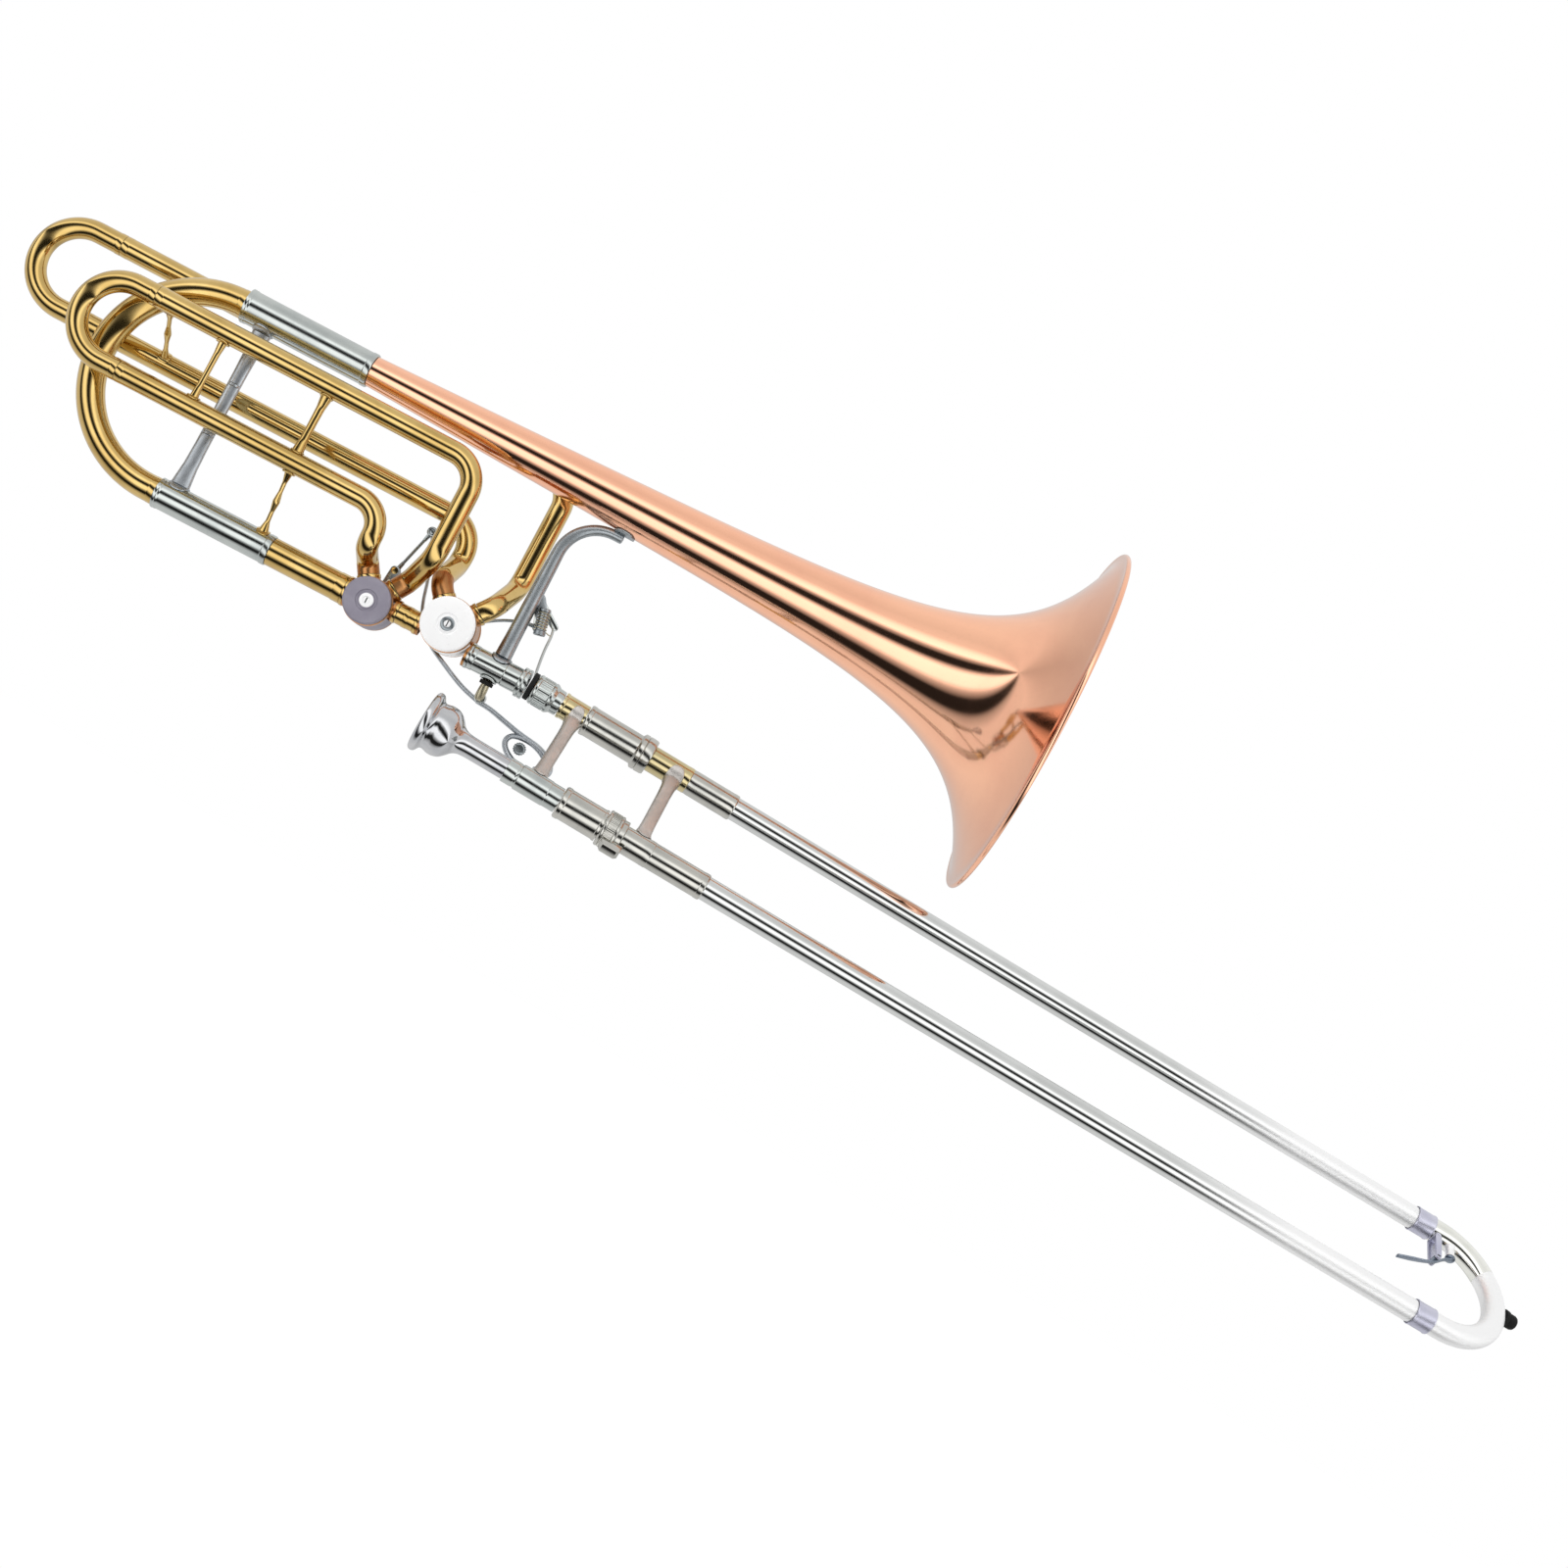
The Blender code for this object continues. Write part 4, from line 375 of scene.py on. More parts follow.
def heading(degrees):
    """A direction in the plane of the valves."""
    angle = math.radians(degrees)
    return Vector((math.cos(angle), 0, math.sin(angle)))


def turn_to(axis, base=ALONG):
    """The rotation that brings a base direction to an axis."""
    return base.rotation_difference(axis.normalized()).to_matrix()


def skinned(material, loops, closed=False):
    """A part, as corners, faces and material, with a skin over loops of points.

    A loop of one point is a pole. Closed, the last loop is joined to the first.
    """
    corners = []
    rings = []
    for loop in loops:
        rings.append(range(len(corners), len(corners) + len(loop)))
        corners += loop
    if closed:
        rings.append(rings[0])
    faces = []
    for lower, upper in zip(rings, rings[1:]):
        count = max(len(lower), len(upper))
        for here in range(count):
            ahead = (here + 1) % count
            if len(lower) == 1:
                faces.append((lower[0], upper[here], upper[ahead]))
            elif len(upper) == 1:
                faces.append((lower[here], upper[0], lower[ahead]))
            else:
                faces.append((lower[here], upper[here], upper[ahead], lower[ahead]))
    return corners, faces, material


def softened(outline, width, closed):
    """The outline with each turn cut by two short chamfers, so that edges catch the light."""
    result = []
    for index, point in enumerate(outline):
        here = Vector(point)
        back = Vector(outline[index - 1]) - here
        ahead = Vector(outline[(index + 1) % len(outline)]) - here
        is_end = not closed and index in (0, len(outline) - 1)
        if is_end or min(back.length, ahead.length) < 1e-6 or back.angle(ahead) > math.radians(155):
            result.append(point)
            continue
        cut = min(width, back.length * 0.4, ahead.length * 0.4)
        first = here + back.normalized() * cut
        last = here + ahead.normalized() * cut
        middle = first.lerp(last, 0.5).lerp(here, 0.58)
        result += [tuple(first), tuple(middle), tuple(last)]
    return result


def turned(material, outline, start=ORIGIN, axis=ALONG, sides=FINE, soft=0.0):
    """A solid of revolution from (distance along the axis, radius) points."""
    closed = outline[0][1] > 1e-6
    if soft:
        outline = softened(outline, soft, closed)
    turn = turn_to(axis)
    loops = []
    for along, radius in outline:
        angles = [0.0] if radius < 1e-6 else circle(sides)
        loops.append([start + turn @ Vector((along, radius * math.cos(angle), radius * math.sin(angle)))
                      for angle in angles])
    return skinned(material, loops, closed)


def ring(material, x_range, outer, inner=0, start=ORIGIN, axis=ALONG, sides=FINE, soft=0.25):
    """A straight band, or a rod where no inner radius is given, with softened edges."""
    low, high = x_range
    outline = [(low, inner), (low, outer), (high, outer), (high, inner)]
    return turned(material, outline, start, axis, sides, soft)


def straight(start, end, steps):
    """Evenly spaced points from one place to another."""
    return [start.lerp(end, number / steps) for number in range(steps + 1)]


def route(corners, radii):
    """Points along straight runs whose corners are rounded with the given radii."""
    points = [Vector(corners[0])]
    for index in range(1, len(corners) - 1):
        corner = Vector(corners[index])
        back = (Vector(corners[index - 1]) - corner).normalized()
        ahead = (Vector(corners[index + 1]) - corner).normalized()
        bend = math.pi - back.angle(ahead)
        setback = radii[index - 1] * math.tan(bend / 2)
        centre = corner + (back + ahead).normalized() * (radii[index - 1] / math.cos(bend / 2))
        first = corner + back * setback - centre
        normal = first.cross(-back).normalized()
        count = max(3, math.ceil(math.degrees(bend) / BEND_STEP))
        for number in range(count + 1):
            point = centre + Matrix.Rotation(bend * number / count, 3, normal) @ first
            if (point - points[-1]).length > 0.01:
                points.append(point)
    points.append(Vector(corners[-1]))
    return points


def flowing(points, steps=8):
    """A smooth curve through points."""
    points = [Vector(point) for point in points]
    result = []
    for index, p1 in enumerate(points[:-1]):
        p0 = points[max(index - 1, 0)]
        p2 = points[index + 1]
        p3 = points[min(index + 2, len(points) - 1)]
        for number in range(steps):
            t = number / steps
            result.append(0.5 * ((2 * p1) + (p2 - p0) * t + (2 * p0 - 5 * p1 + 4 * p2 - p3) * t * t
                                 + (3 * p1 - p0 - 3 * p2 + p3) * t ** 3))
    result.append(points[-1])
    return result


def crook(ends_x, bow_x, low, high, y, count):
    """The path of a U bend to the left, from its lower end to its upper end."""
    bend = (high - low) / 2
    bow = [(x, y, z) for x, z in arc((bow_x, low + bend), bend, 270, 90, count)]
    return [(ends_x[0], y, low), *bow, (ends_x[1], y, high)]


def spread(values, count):
    """A number, or a list of them evenly resampled, for each point of a curve."""
    if not isinstance(values, list):
        return [values] * count
    result = []
    for index in range(count):
        place = index * (len(values) - 1) / (count - 1)
        low = min(int(place), len(values) - 2)
        result.append(values[low] + (values[low + 1] - values[low]) * (place - low))
    return result


def domed(end, rim, outward, radius):
    """The loop and the pole that close a rod's end with a low dome."""
    tip = outward.normalized() * min(radius * 0.5, 1.0)
    return [end + (corner - end) * 0.72 + tip * 0.6 for corner in rim], [end + tip]


def swept(material, points, radii, flats=1.0, across=None, sides=24):
    """A rod that follows points, round or flattened, with domed ends.

    radii and flats may be lists. across fixes the section's wide direction.
    """
    points = [Vector(point) for point in points]
    count = len(points)
    radii = spread(radii, count)
    flats = spread(flats, count)
    loops = []
    side = None
    for index, point in enumerate(points):
        tangent = (points[min(index + 1, count - 1)] - points[max(index - 1, 0)]).normalized()
        side = across or side or tangent.orthogonal()
        side = (side - tangent * side.dot(tangent)).normalized()
        other = side.cross(tangent) * radii[index]
        wide = side * (radii[index] * flats[index])
        loops.append([point + other * math.cos(angle) + wide * math.sin(angle)
                      for angle in circle(sides, math.pi / sides)])
    first = domed(points[0], loops[0], points[0] - points[1], radii[0])
    last = domed(points[-1], loops[-1], points[-1] - points[-2], radii[-1])
    return skinned(material, [*reversed(first), *loops, *last])


def plate(material, outline, depth, soft=0.3, lying=False):
    """A flat piece with softened edges, from an outline of (x, z) points and a range of y.

    Where it is lying, the outline is one of (x, y) points and the range one of z.
    """
    low, high = depth
    centre = sum((Vector(point) for point in outline), Vector((0, 0))) / len(outline)
    loops = []
    for level, inset in ((low, soft), (low + soft * 0.3, soft * 0.3), (low + soft, 0), (high - soft, 0),
                         (high - soft * 0.3, soft * 0.3), (high, soft)):
        loop = []
        for index, point in enumerate(outline):
            edge = (Vector(outline[(index + 1) % len(outline)]) - Vector(outline[index - 1])).normalized()
            inward = Vector((-edge.y, edge.x))
            if inward.dot(centre - Vector(point)) < 0:
                inward = -inward
            x, other = Vector(point) + inward * inset
            loop.append(Vector((x, other, level)) if lying else Vector((x, level, other)))
        loops.append(loop)
    corners, faces, material = skinned(material, loops)
    first_cap = tuple(range(len(outline)))
    last_cap = tuple(range(len(corners) - len(outline), len(corners)))
    return corners, [*faces, first_cap, last_cap], material


def bar_outline(start, end, start_radius, end_radius):
    """The outline of a bar with round ends."""
    lean = math.degrees(math.atan2(end[1] - start[1], end[0] - start[0]))
    return (arc(end, end_radius, lean - 90, lean + 90, 16)
            + arc(start, start_radius, lean + 90, lean + 270, 16))


def foot(material, radius, half_angle, length, centre=ORIGIN, towards=UP, wall=1.1, along=ALONG):
    """A thin oval flange that hugs a tube, as a brace's foot does."""
    axis = along.normalized()
    up = towards.normalized()
    side = axis.cross(up)
    under = 0.12
    power = 2.6
    levels = ((0, wall), (0.3, wall), (0.6, wall), (0.9, wall * 0.95), (0.97, wall * 0.8), (1.0, wall * 0.5),
              (1.0, under), (0.9, under), (0.6, under), (0.3, under), (0, under))
    loops = []
    for share, lift in levels:
        loop = []
        for angle in circle(40) if share else [0.0]:
            across = math.sin(angle)
            bulge = share * (abs(math.cos(angle)) ** power + abs(across) ** power) ** (-1 / power)
            turn = math.radians(half_angle) * bulge * across
            loop.append(centre + axis * (length / 2 * bulge * math.cos(angle))
                        + (up * math.cos(turn) + side * math.sin(turn)) * (radius + lift))
        loops.append(loop)
    return skinned(material, loops)


def finished(tree, start, end, shape):
    """The tree, with its end added: real geometry in the chosen material."""
    real = output_of(tree, "GeometryNodeRealizeInstances", {"Geometry": shape})
    coated = output_of(tree, "GeometryNodeSetMaterial", {"Geometry": real, "Material": start["Material"]})
    plug(tree, end, {"Geometry": coated})
    return tree


def tube_tree():
    """Geometry Nodes that draw a walled tube along a path of edges."""
    tree, start, end = new_group("drawn_tube", {"Outer Radius": 7.0, "Wall": 0.7, "Sides": FINE}, grows=True)
    path = output_of(tree, "GeometryNodeMeshToCurve", {"Mesh": start["Geometry"]})
    section = output_of(tree, "GeometryNodeCurvePrimitiveCircle",
                        {"Resolution": start["Sides"], "Radius": start["Outer Radius"]})
    skin = output_of(tree, "GeometryNodeCurveToMesh", {"Curve": path, "Profile Curve": section})
    bore = output_of(tree, "GeometryNodeExtrudeMesh",
                     {"Mesh": skin, "Offset Scale": product(tree, start["Wall"], -1.0), "Individual": False},
                     mode="FACES")
    both = add_node(tree, "GeometryNodeJoinGeometry")
    for shape in (skin, bore):
        plug(tree, both.inputs, {"Geometry": shape})
    merged = output_of(tree, "GeometryNodeMergeByDistance", {"Geometry": both.outputs[0], "Distance": 1e-5})
    return finished(tree, start, end, merged)


def knurl_tree():
    """Geometry Nodes that set short ribs round a circle about X, for knurled and milled edges."""
    tree, start, end = new_group(
        "milled_ribs", {"Count": 48, "Circle Radius": 10.0, "Rib Radius": 0.3, "Rib Length": 4.0}, grows=True)
    points = output_of(tree, "GeometryNodeMeshCircle",
                       {"Vertices": start["Count"], "Radius": start["Circle Radius"]})
    rib = output_of(tree, "GeometryNodeMeshCylinder",
                    {"Vertices": 8, "Side Segments": 1, "Fill Segments": 1, "Radius": start["Rib Radius"],
                     "Depth": start["Rib Length"]})
    ribs = output_of(tree, "GeometryNodeInstanceOnPoints", {"Points": points, "Instance": rib})
    turn = output_of(tree, "GeometryNodeTransform", {"Geometry": ribs, "Rotation": (0, math.pi / 2, 0)})
    return finished(tree, start, end, turn)


def coil_tree():
    """Geometry Nodes that wind a wire into a coil spring along Z."""
    tree, start, end = new_group(
        "coil_spring", {"Turns": 5.0, "Coil Radius": 4.6, "Length": 6.0, "Wire Radius": 0.45}, grows=True)
    spiral = output_of(tree, "GeometryNodeCurveSpiral",
                       {"Resolution": 28, "Rotations": start["Turns"], "Start Radius": start["Coil Radius"],
                        "End Radius": start["Coil Radius"], "Height": start["Length"]})
    section = output_of(tree, "GeometryNodeCurvePrimitiveCircle",
                        {"Resolution": 10, "Radius": start["Wire Radius"]})
    wire = output_of(tree, "GeometryNodeCurveToMesh",
                     {"Curve": spiral, "Profile Curve": section, "Fill Caps": True})
    return finished(tree, start, end, wire)


TUBE_TREE = tube_tree()
KNURL_TREE = knurl_tree()
COIL_TREE = coil_tree()


def grown(material, tree, inputs, points=()):
    """The part that a Geometry Nodes tree makes, in millimetres."""
    mesh = bpy.data.meshes.new("seed")
    mesh.from_pydata(points, [(index, index + 1) for index in range(len(points) - 1)], [])
    holder = bpy.data.objects.new("seed", mesh)
    bpy.context.collection.objects.link(holder)
    nodes = holder.modifiers.new("grow", "NODES")
    nodes.node_group = tree
    sockets = {item.name: item.identifier for item in tree.interface.items_tree
               if item.item_type == "SOCKET" and item.in_out == "INPUT"}
    for name, value in {**inputs, "Material": material}.items():
        nodes[sockets[name]] = value
    bpy.context.view_layer.update()
    result = bpy.data.meshes.new_from_object(holder.evaluated_get(bpy.context.evaluated_depsgraph_get()))
    corners = [vertex.co.copy() for vertex in result.vertices]
    faces = [tuple(polygon.vertices) for polygon in result.polygons]
    bpy.data.objects.remove(holder, do_unlink=True)
    bpy.data.meshes.remove(mesh)
    bpy.data.meshes.remove(result)
    return corners, faces, material


def drawn(material, points, outer, wall=0.7, sides=FINE):
    """A drawn tube along points."""
    return grown(material, TUBE_TREE, {"Outer Radius": outer, "Wall": wall, "Sides": sides}, points)


def pipe(material, x_range, outer, at=ORIGIN, wall=SLIDE_WALL, sides=FINE):
    """A straight drawn tube along X."""
    return drawn(material, [at + ALONG * x for x in x_range], outer, wall, sides)


def moved(part, start, axis, base):
    """A part turned from a base direction to an axis, and then put at a start point."""
    corners, faces, material = part
    turn = turn_to(axis, base)
    return [start + turn @ corner for corner in corners], faces, material


def knurl(material, count, radius, rib, length, start, axis):
    """Milled ribs round an axis."""
    sizes = {"Count": count, "Circle Radius": radius, "Rib Radius": rib, "Rib Length": length}
    return moved(grown(material, KNURL_TREE, sizes), start, axis, ALONG)


def spring(material, turns, radius, length, wire, start, axis):
    """A coil spring from a start point along an axis."""
    sizes = {"Turns": turns, "Coil Radius": radius, "Length": length, "Wire Radius": wire}
    return moved(grown(material, COIL_TREE, sizes), start, axis, UP)


def screw(material, centre, axis, radius, height, sides=28):
    """The two parts of a domed screw head: the head, and a thin black strip across it, painted shade standing
    for the slot cut there.
    """
    dome = [(0, 0), (0, radius), (height * 0.45, radius), (height * 0.8, radius * 0.8),
            (height, radius * 0.5), (height * 1.02, 0)]
    half = radius * 0.14
    reach = radius * 0.82
    # The slot is not cut: a black strip on the dome paints the shade inside it
    corners, faces, dark = plate(RUBBER_AND_SLOT_SHADE, [(-half, -reach), (half, -reach), (half, reach), (-half, reach)],
                                 (0, 0.3), 0.05)
    turn = turn_to(axis)
    lift = height * 0.82
    slot = [centre + turn @ Vector((corner.y + lift, -corner.x, corner.z)) for corner in corners]
    return [turned(material, dome, centre, axis, sides), (slot, faces, dark)]


def pin(place, y_range, radius):
    """A steel pin or axle across the plane of the valves."""
    return ring(STEEL, y_range, radius, 0, at_depth(place), ACROSS, 24)


def piece(name, node, parts, place=BELL, body="bell_section"):
    """One object of the visual model, which stands for a node, from parts in millimetres."""
    materials = []
    work = bmesh.new()
    for corners, faces, material in parts:
        if material not in materials:
            materials.append(material)
        fresh = [work.verts.new(corner) for corner in corners]
        made = [work.faces.new([fresh[number] for number in face]) for face in faces]
        for face in made:
            face.material_index = materials.index(material)
        bmesh.ops.recalc_face_normals(work, faces=made)
    work.transform(Matrix.Scale(MM, 4) @ place)
    mesh = bpy.data.meshes.new(name)
    work.to_mesh(mesh)
    work.free()
    for material in materials:
        mesh.materials.append(material)
    mesh.shade_smooth()
    mesh.set_sharp_from_angle(angle=math.radians(SHARP_ANGLE))
    made_piece = bpy.data.objects.new(name, mesh)
    bpy.context.collection.objects.link(made_piece)
    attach(made_piece, body)
    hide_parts(node)


def bell_radius(distance):
    """Outer radius of the bell at a distance behind its mouth."""
    radius = BELL_TAIL_RADIUS + BELL_TAPER * (BELL_MOUTH_X - BELL_TAIL_X - distance)
    for height, fall in BELL_FLARE:
        radius += height * math.exp(-distance / fall)
    return radius


def make_bell():
    """The flared bell, with the wired bead at its mouth."""
    near_by = 0.2
    outside = []
    inside = []
    for index in range(BELL_STEPS + 1):
        distance = (BELL_MOUTH_X - BELL_TAIL_X) * (index / BELL_STEPS) ** BELL_CROWDING
        slope = (bell_radius(max(distance - near_by, 0)) - bell_radius(distance + near_by)) / near_by
        slope /= 1 if distance < near_by else 2
        lean = math.hypot(1, slope)
        x = BELL_MOUTH_X - distance
        outside.append((x, bell_radius(distance)))
        inside.append((x + BELL_WALL * slope / lean, bell_radius(distance) - BELL_WALL / lean))
    inside[-1] = (BELL_TAIL_X, BELL_TAIL_RADIUS - BELL_WALL)
    bead = arc(outside[0], BELL_BEAD, 5, 200, 16)
    far = [point for point in outside[1:] if point[0] < BELL_MOUTH_X - 2.2]
    near = [point for point in inside[1:] if point[0] < BELL_MOUTH_X - 0.4]
    outline = bead + far + list(reversed(near))
    piece("bell_flare", "bell", [turned(ROSE_BRASS, outline, STEM, sides=144)])


def make_main_line():
    """Sleeves with a double bead at their mouths, gooseneck, link tube and receiver."""
    for name, (start, end), radius, leg_radius, at in (
            ("upper", UPPER_SLEEVE_X, UPPER_SLEEVE_RADIUS, MAIN_BOW_RADIUS, STEM),
            ("lower", LOWER_SLEEVE_X, LOWER_SLEEVE_RADIUS, LOWER_LEG_RADIUS, ORIGIN)):
        bore = leg_radius + SLIDING_GAP
        outline = [(start, bore), (start, radius + 0.45), (start + 1.0, radius + 0.5),
                   (start + 1.9, radius + 0.2), (start + 2.4, radius + 0.45), (start + 3.2, radius + 0.2),
                   (start + 3.6, radius), (end - 4.2, radius), (end - 3.8, radius + 0.35),
                   (end - 0.8, radius + 0.35), (end, radius), (end, bore)]
        piece(name + "_sleeve", name + "_tuning_sleeve",
              [turned(NICKEL, outline, at, soft=0.2)])

    low, high = GOOSENECK_X
    piece("gooseneck_tube", "gooseneck",
          [pipe(YELLOW_BRASS, (low, high), GOOSENECK_RADIUS - 0.3, wall=0.9),
           ring(YELLOW_BRASS, (high - 6.0, high - 0.2), GOOSENECK_RADIUS, GOOSENECK_RADIUS - 0.5)])
    low, high = VALVE_LINK_X
    at = UP * VALVE_LINK_RISE
    piece("link_tube", "valve_link_tube",
          [pipe(YELLOW_BRASS, (low, high), VALVE_LINK_RADIUS - 0.2, at, 0.7),
           ring(YELLOW_BRASS, (low + 4.6, high - 4.6), VALVE_LINK_RADIUS, VALVE_LINK_RADIUS - 0.5, at)])

    low, high = RECEIVER_X
    waist = RECEIVER_RADIUS - 0.35
    outline = [(low, RECEIVER_BORE), (low, RECEIVER_RADIUS), (low + 3.0, RECEIVER_RADIUS), (low + 3.5, waist),
               (high - 16.0, waist), (high - 15.5, RECEIVER_RADIUS), (high - 5.6, RECEIVER_RADIUS),
               (high - 5.0, 10.2), (high - 3.2, 10.2), (high - 2.6, 9.7), (high - 2.0, 10.2), (high, 10.2),
               (high, RECEIVER_BORE)]
    piece("slide_receiver", "receiver", [turned(NICKEL, outline, soft=0.2)])


def main_port_x(valve, height, radius, side):
    """Where the stub of a main tube ends."""
    offset = max(abs(height - valve["z"]) - radius, 0)
    return valve["x"] + side * (math.sqrt(valve["radius"] ** 2 - offset ** 2) + STUB_LENGTH)


def make_valve(name, valve, mains, cap_material, hub_material):
    """A casing with its collared stubs, the milled cap and the back plate with its screws."""
    centre = at_depth((valve["x"], valve["z"]))
    radius = valve["radius"]
    bore = radius - CASING_WALL
    half = CASING_HALF_DEPTH
    wall = [(-half, bore), (-half, radius), (-half + 3.0, radius), (-half + 3.5, radius - 0.5),
            (half - 3.5, radius - 0.5), (half - 3.0, radius), (half, radius), (half, bore)]
    parts = [turned(RED_BRASS, wall, centre, ACROSS, soft=0.25)]
    reach = radius + STUB_LENGTH
    root = math.sqrt(bore ** 2 - PORT_COLLAR_RADIUS ** 2) + 1.4
    for angle in valve["ports"]:
        way = heading(angle)
        parts += [ring(RED_BRASS, (root, reach - 1.9), PORT_RADIUS, PORT_BORE, centre, way),
                  ring(YELLOW_BRASS, (reach - LIP_LENGTH, reach), PORT_COLLAR_RADIUS, PORT_BORE, centre, way)]
    for side, (height, tube_radius) in zip((-1, 1), mains):
        end = main_port_x(valve, height, tube_radius, side)
        lip = end - side * LIP_LENGTH
        root = end - side * (STUB_LENGTH + 1.5)
        lip_material = NICKEL if tube_radius == RECEIVER_RADIUS else YELLOW_BRASS
        at, inner = UP * height, tube_radius - STUB_WALL
        parts += [ring(RED_BRASS, sorted((root, lip)), tube_radius + 0.1, inner, at),
                  ring(lip_material, sorted((lip, end)), tube_radius + 0.45, inner, at)]
    skirt = [at_depth(point) for point in arc(centre.xz, radius - 0.35, 196, 344, 48)]
    parts.append(swept(cap_material, skirt, 0.5, 33.0, ACROSS))
    piece(name + "_body", name + "_casing", parts)

    front = centre - ACROSS * (half + JOIN_GAP)
    edge = radius - 0.3
    cap = [(3.0, 0), (3.0, 3.35), (0, 3.35), (0, edge - 0.35), (CAP_DEPTH - 0.9, edge - 0.35),
           (CAP_DEPTH - 0.2, edge - 0.9), (CAP_DEPTH, edge - 1.6), (CAP_DEPTH, 7.2), (CAP_DEPTH - 0.7, 6.7),
           (CAP_DEPTH - 0.7, 5.6), (CAP_DEPTH - 0.1, 5.2), (CAP_DEPTH - 0.1, 0)]
    milling = front - ACROSS * (CAP_DEPTH / 2 - 0.2)
    hub = front - ACROSS * (CAP_DEPTH - 0.15)
    piece(name + "_cover", name + "_cap",
          [turned(cap_material, cap, front, -ACROSS, 72),
           knurl(cap_material, 96, edge - 0.42, 0.32, CAP_DEPTH - 1.6, milling, ACROSS),
           turned(hub_material, [(0, 2.4), (0, 4.6), (0.35, 4.5), (0.6, 4.0), (0.6, 2.4)], hub, -ACROSS),
           *screw(WHITE_CAP, hub, -ACROSS, 2.3, 0.62)])

    back = centre + ACROSS * (half + JOIN_GAP)
    outline = [(0, 3.95), (0, radius - 0.6), (1.4, radius - 0.6), (1.9, radius - 1.2), (1.9, 7.0), (2.4, 6.6),
               (PLATE_DEPTH, 6.2), (PLATE_DEPTH, 3.95)]
    parts = [turned(YELLOW_BRASS, outline, back, ACROSS, soft=0.15)]
    for angle in circle(3, 0.5):
        spot = back + heading(math.degrees(angle)) * (radius * 0.72) + ACROSS * 1.9
        parts += screw(STEEL, spot, ACROSS, 1.7, 0.9)
    piece(name + "_plate", name + "_back_plate", parts)
    for material_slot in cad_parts[name + "_rotor"].material_slots:
        material_slot.material = YELLOW_BRASS


def make_linkage(name, valve, arm, hinge, rise):
    """A rotor's stop arm with its screw, and the rod with two ball ends that turns it."""
    start = (valve["x"], valve["z"])
    length, angle = arm
    tip = (at_depth(start) + heading(angle) * length).xz
    piece(name + "_stop_arm", name + "_rotor_arm",
          [plate(STEEL, bar_outline(start, tip, 5.4, 3.2), ARM_LAYER, 0.35),
           *screw(YELLOW_BRASS, at_depth(start, ARM_LAYER[1] - 0.9), ACROSS, 2.3, 0.9),
           turned(YELLOW_BRASS, [(0, 0), (0, 2.4), (0.3, 2.6), (1.1, 2.2), (1.3, 0)],
                  at_depth(tip, ARM_LAYER[0] + 0.9), -ACROSS)], body=name + "_rotor")

    near = at_depth(hinge, sum(LINK_LAYER) / 2)
    far = at_depth(tip, sum(LINK_LAYER) / 2)
    path = [point + UP * (rise * 4 * number / 24 * (1 - number / 24))
            for number, point in enumerate(straight(near, far, 24))]
    eye = [(-1.05, 1.9), (-1.05, 2.7), (-0.7, 3.3), (0, 3.5), (0.7, 3.3), (1.05, 2.7), (1.05, 1.9)]
    parts = [swept(STEEL, path, 1.05, sides=16)]
    for end, other in ((near, path[3]), (far, path[-4])):
        parts += [turned(STEEL, eye, end, ACROSS, 32),
                  turned(STEEL, [(2.6, 0), (2.6, 1.6), (7.5, 1.35), (8.0, 0)], end, other - end, 6)]
    parts.append(ring(YELLOW_BRASS, (-1.0, 1.0), 1.7, 0, far, ACROSS, 24, 0.4))
    piece(name + "_ball_link", name + "_link", parts, body=name + "_link_rod")


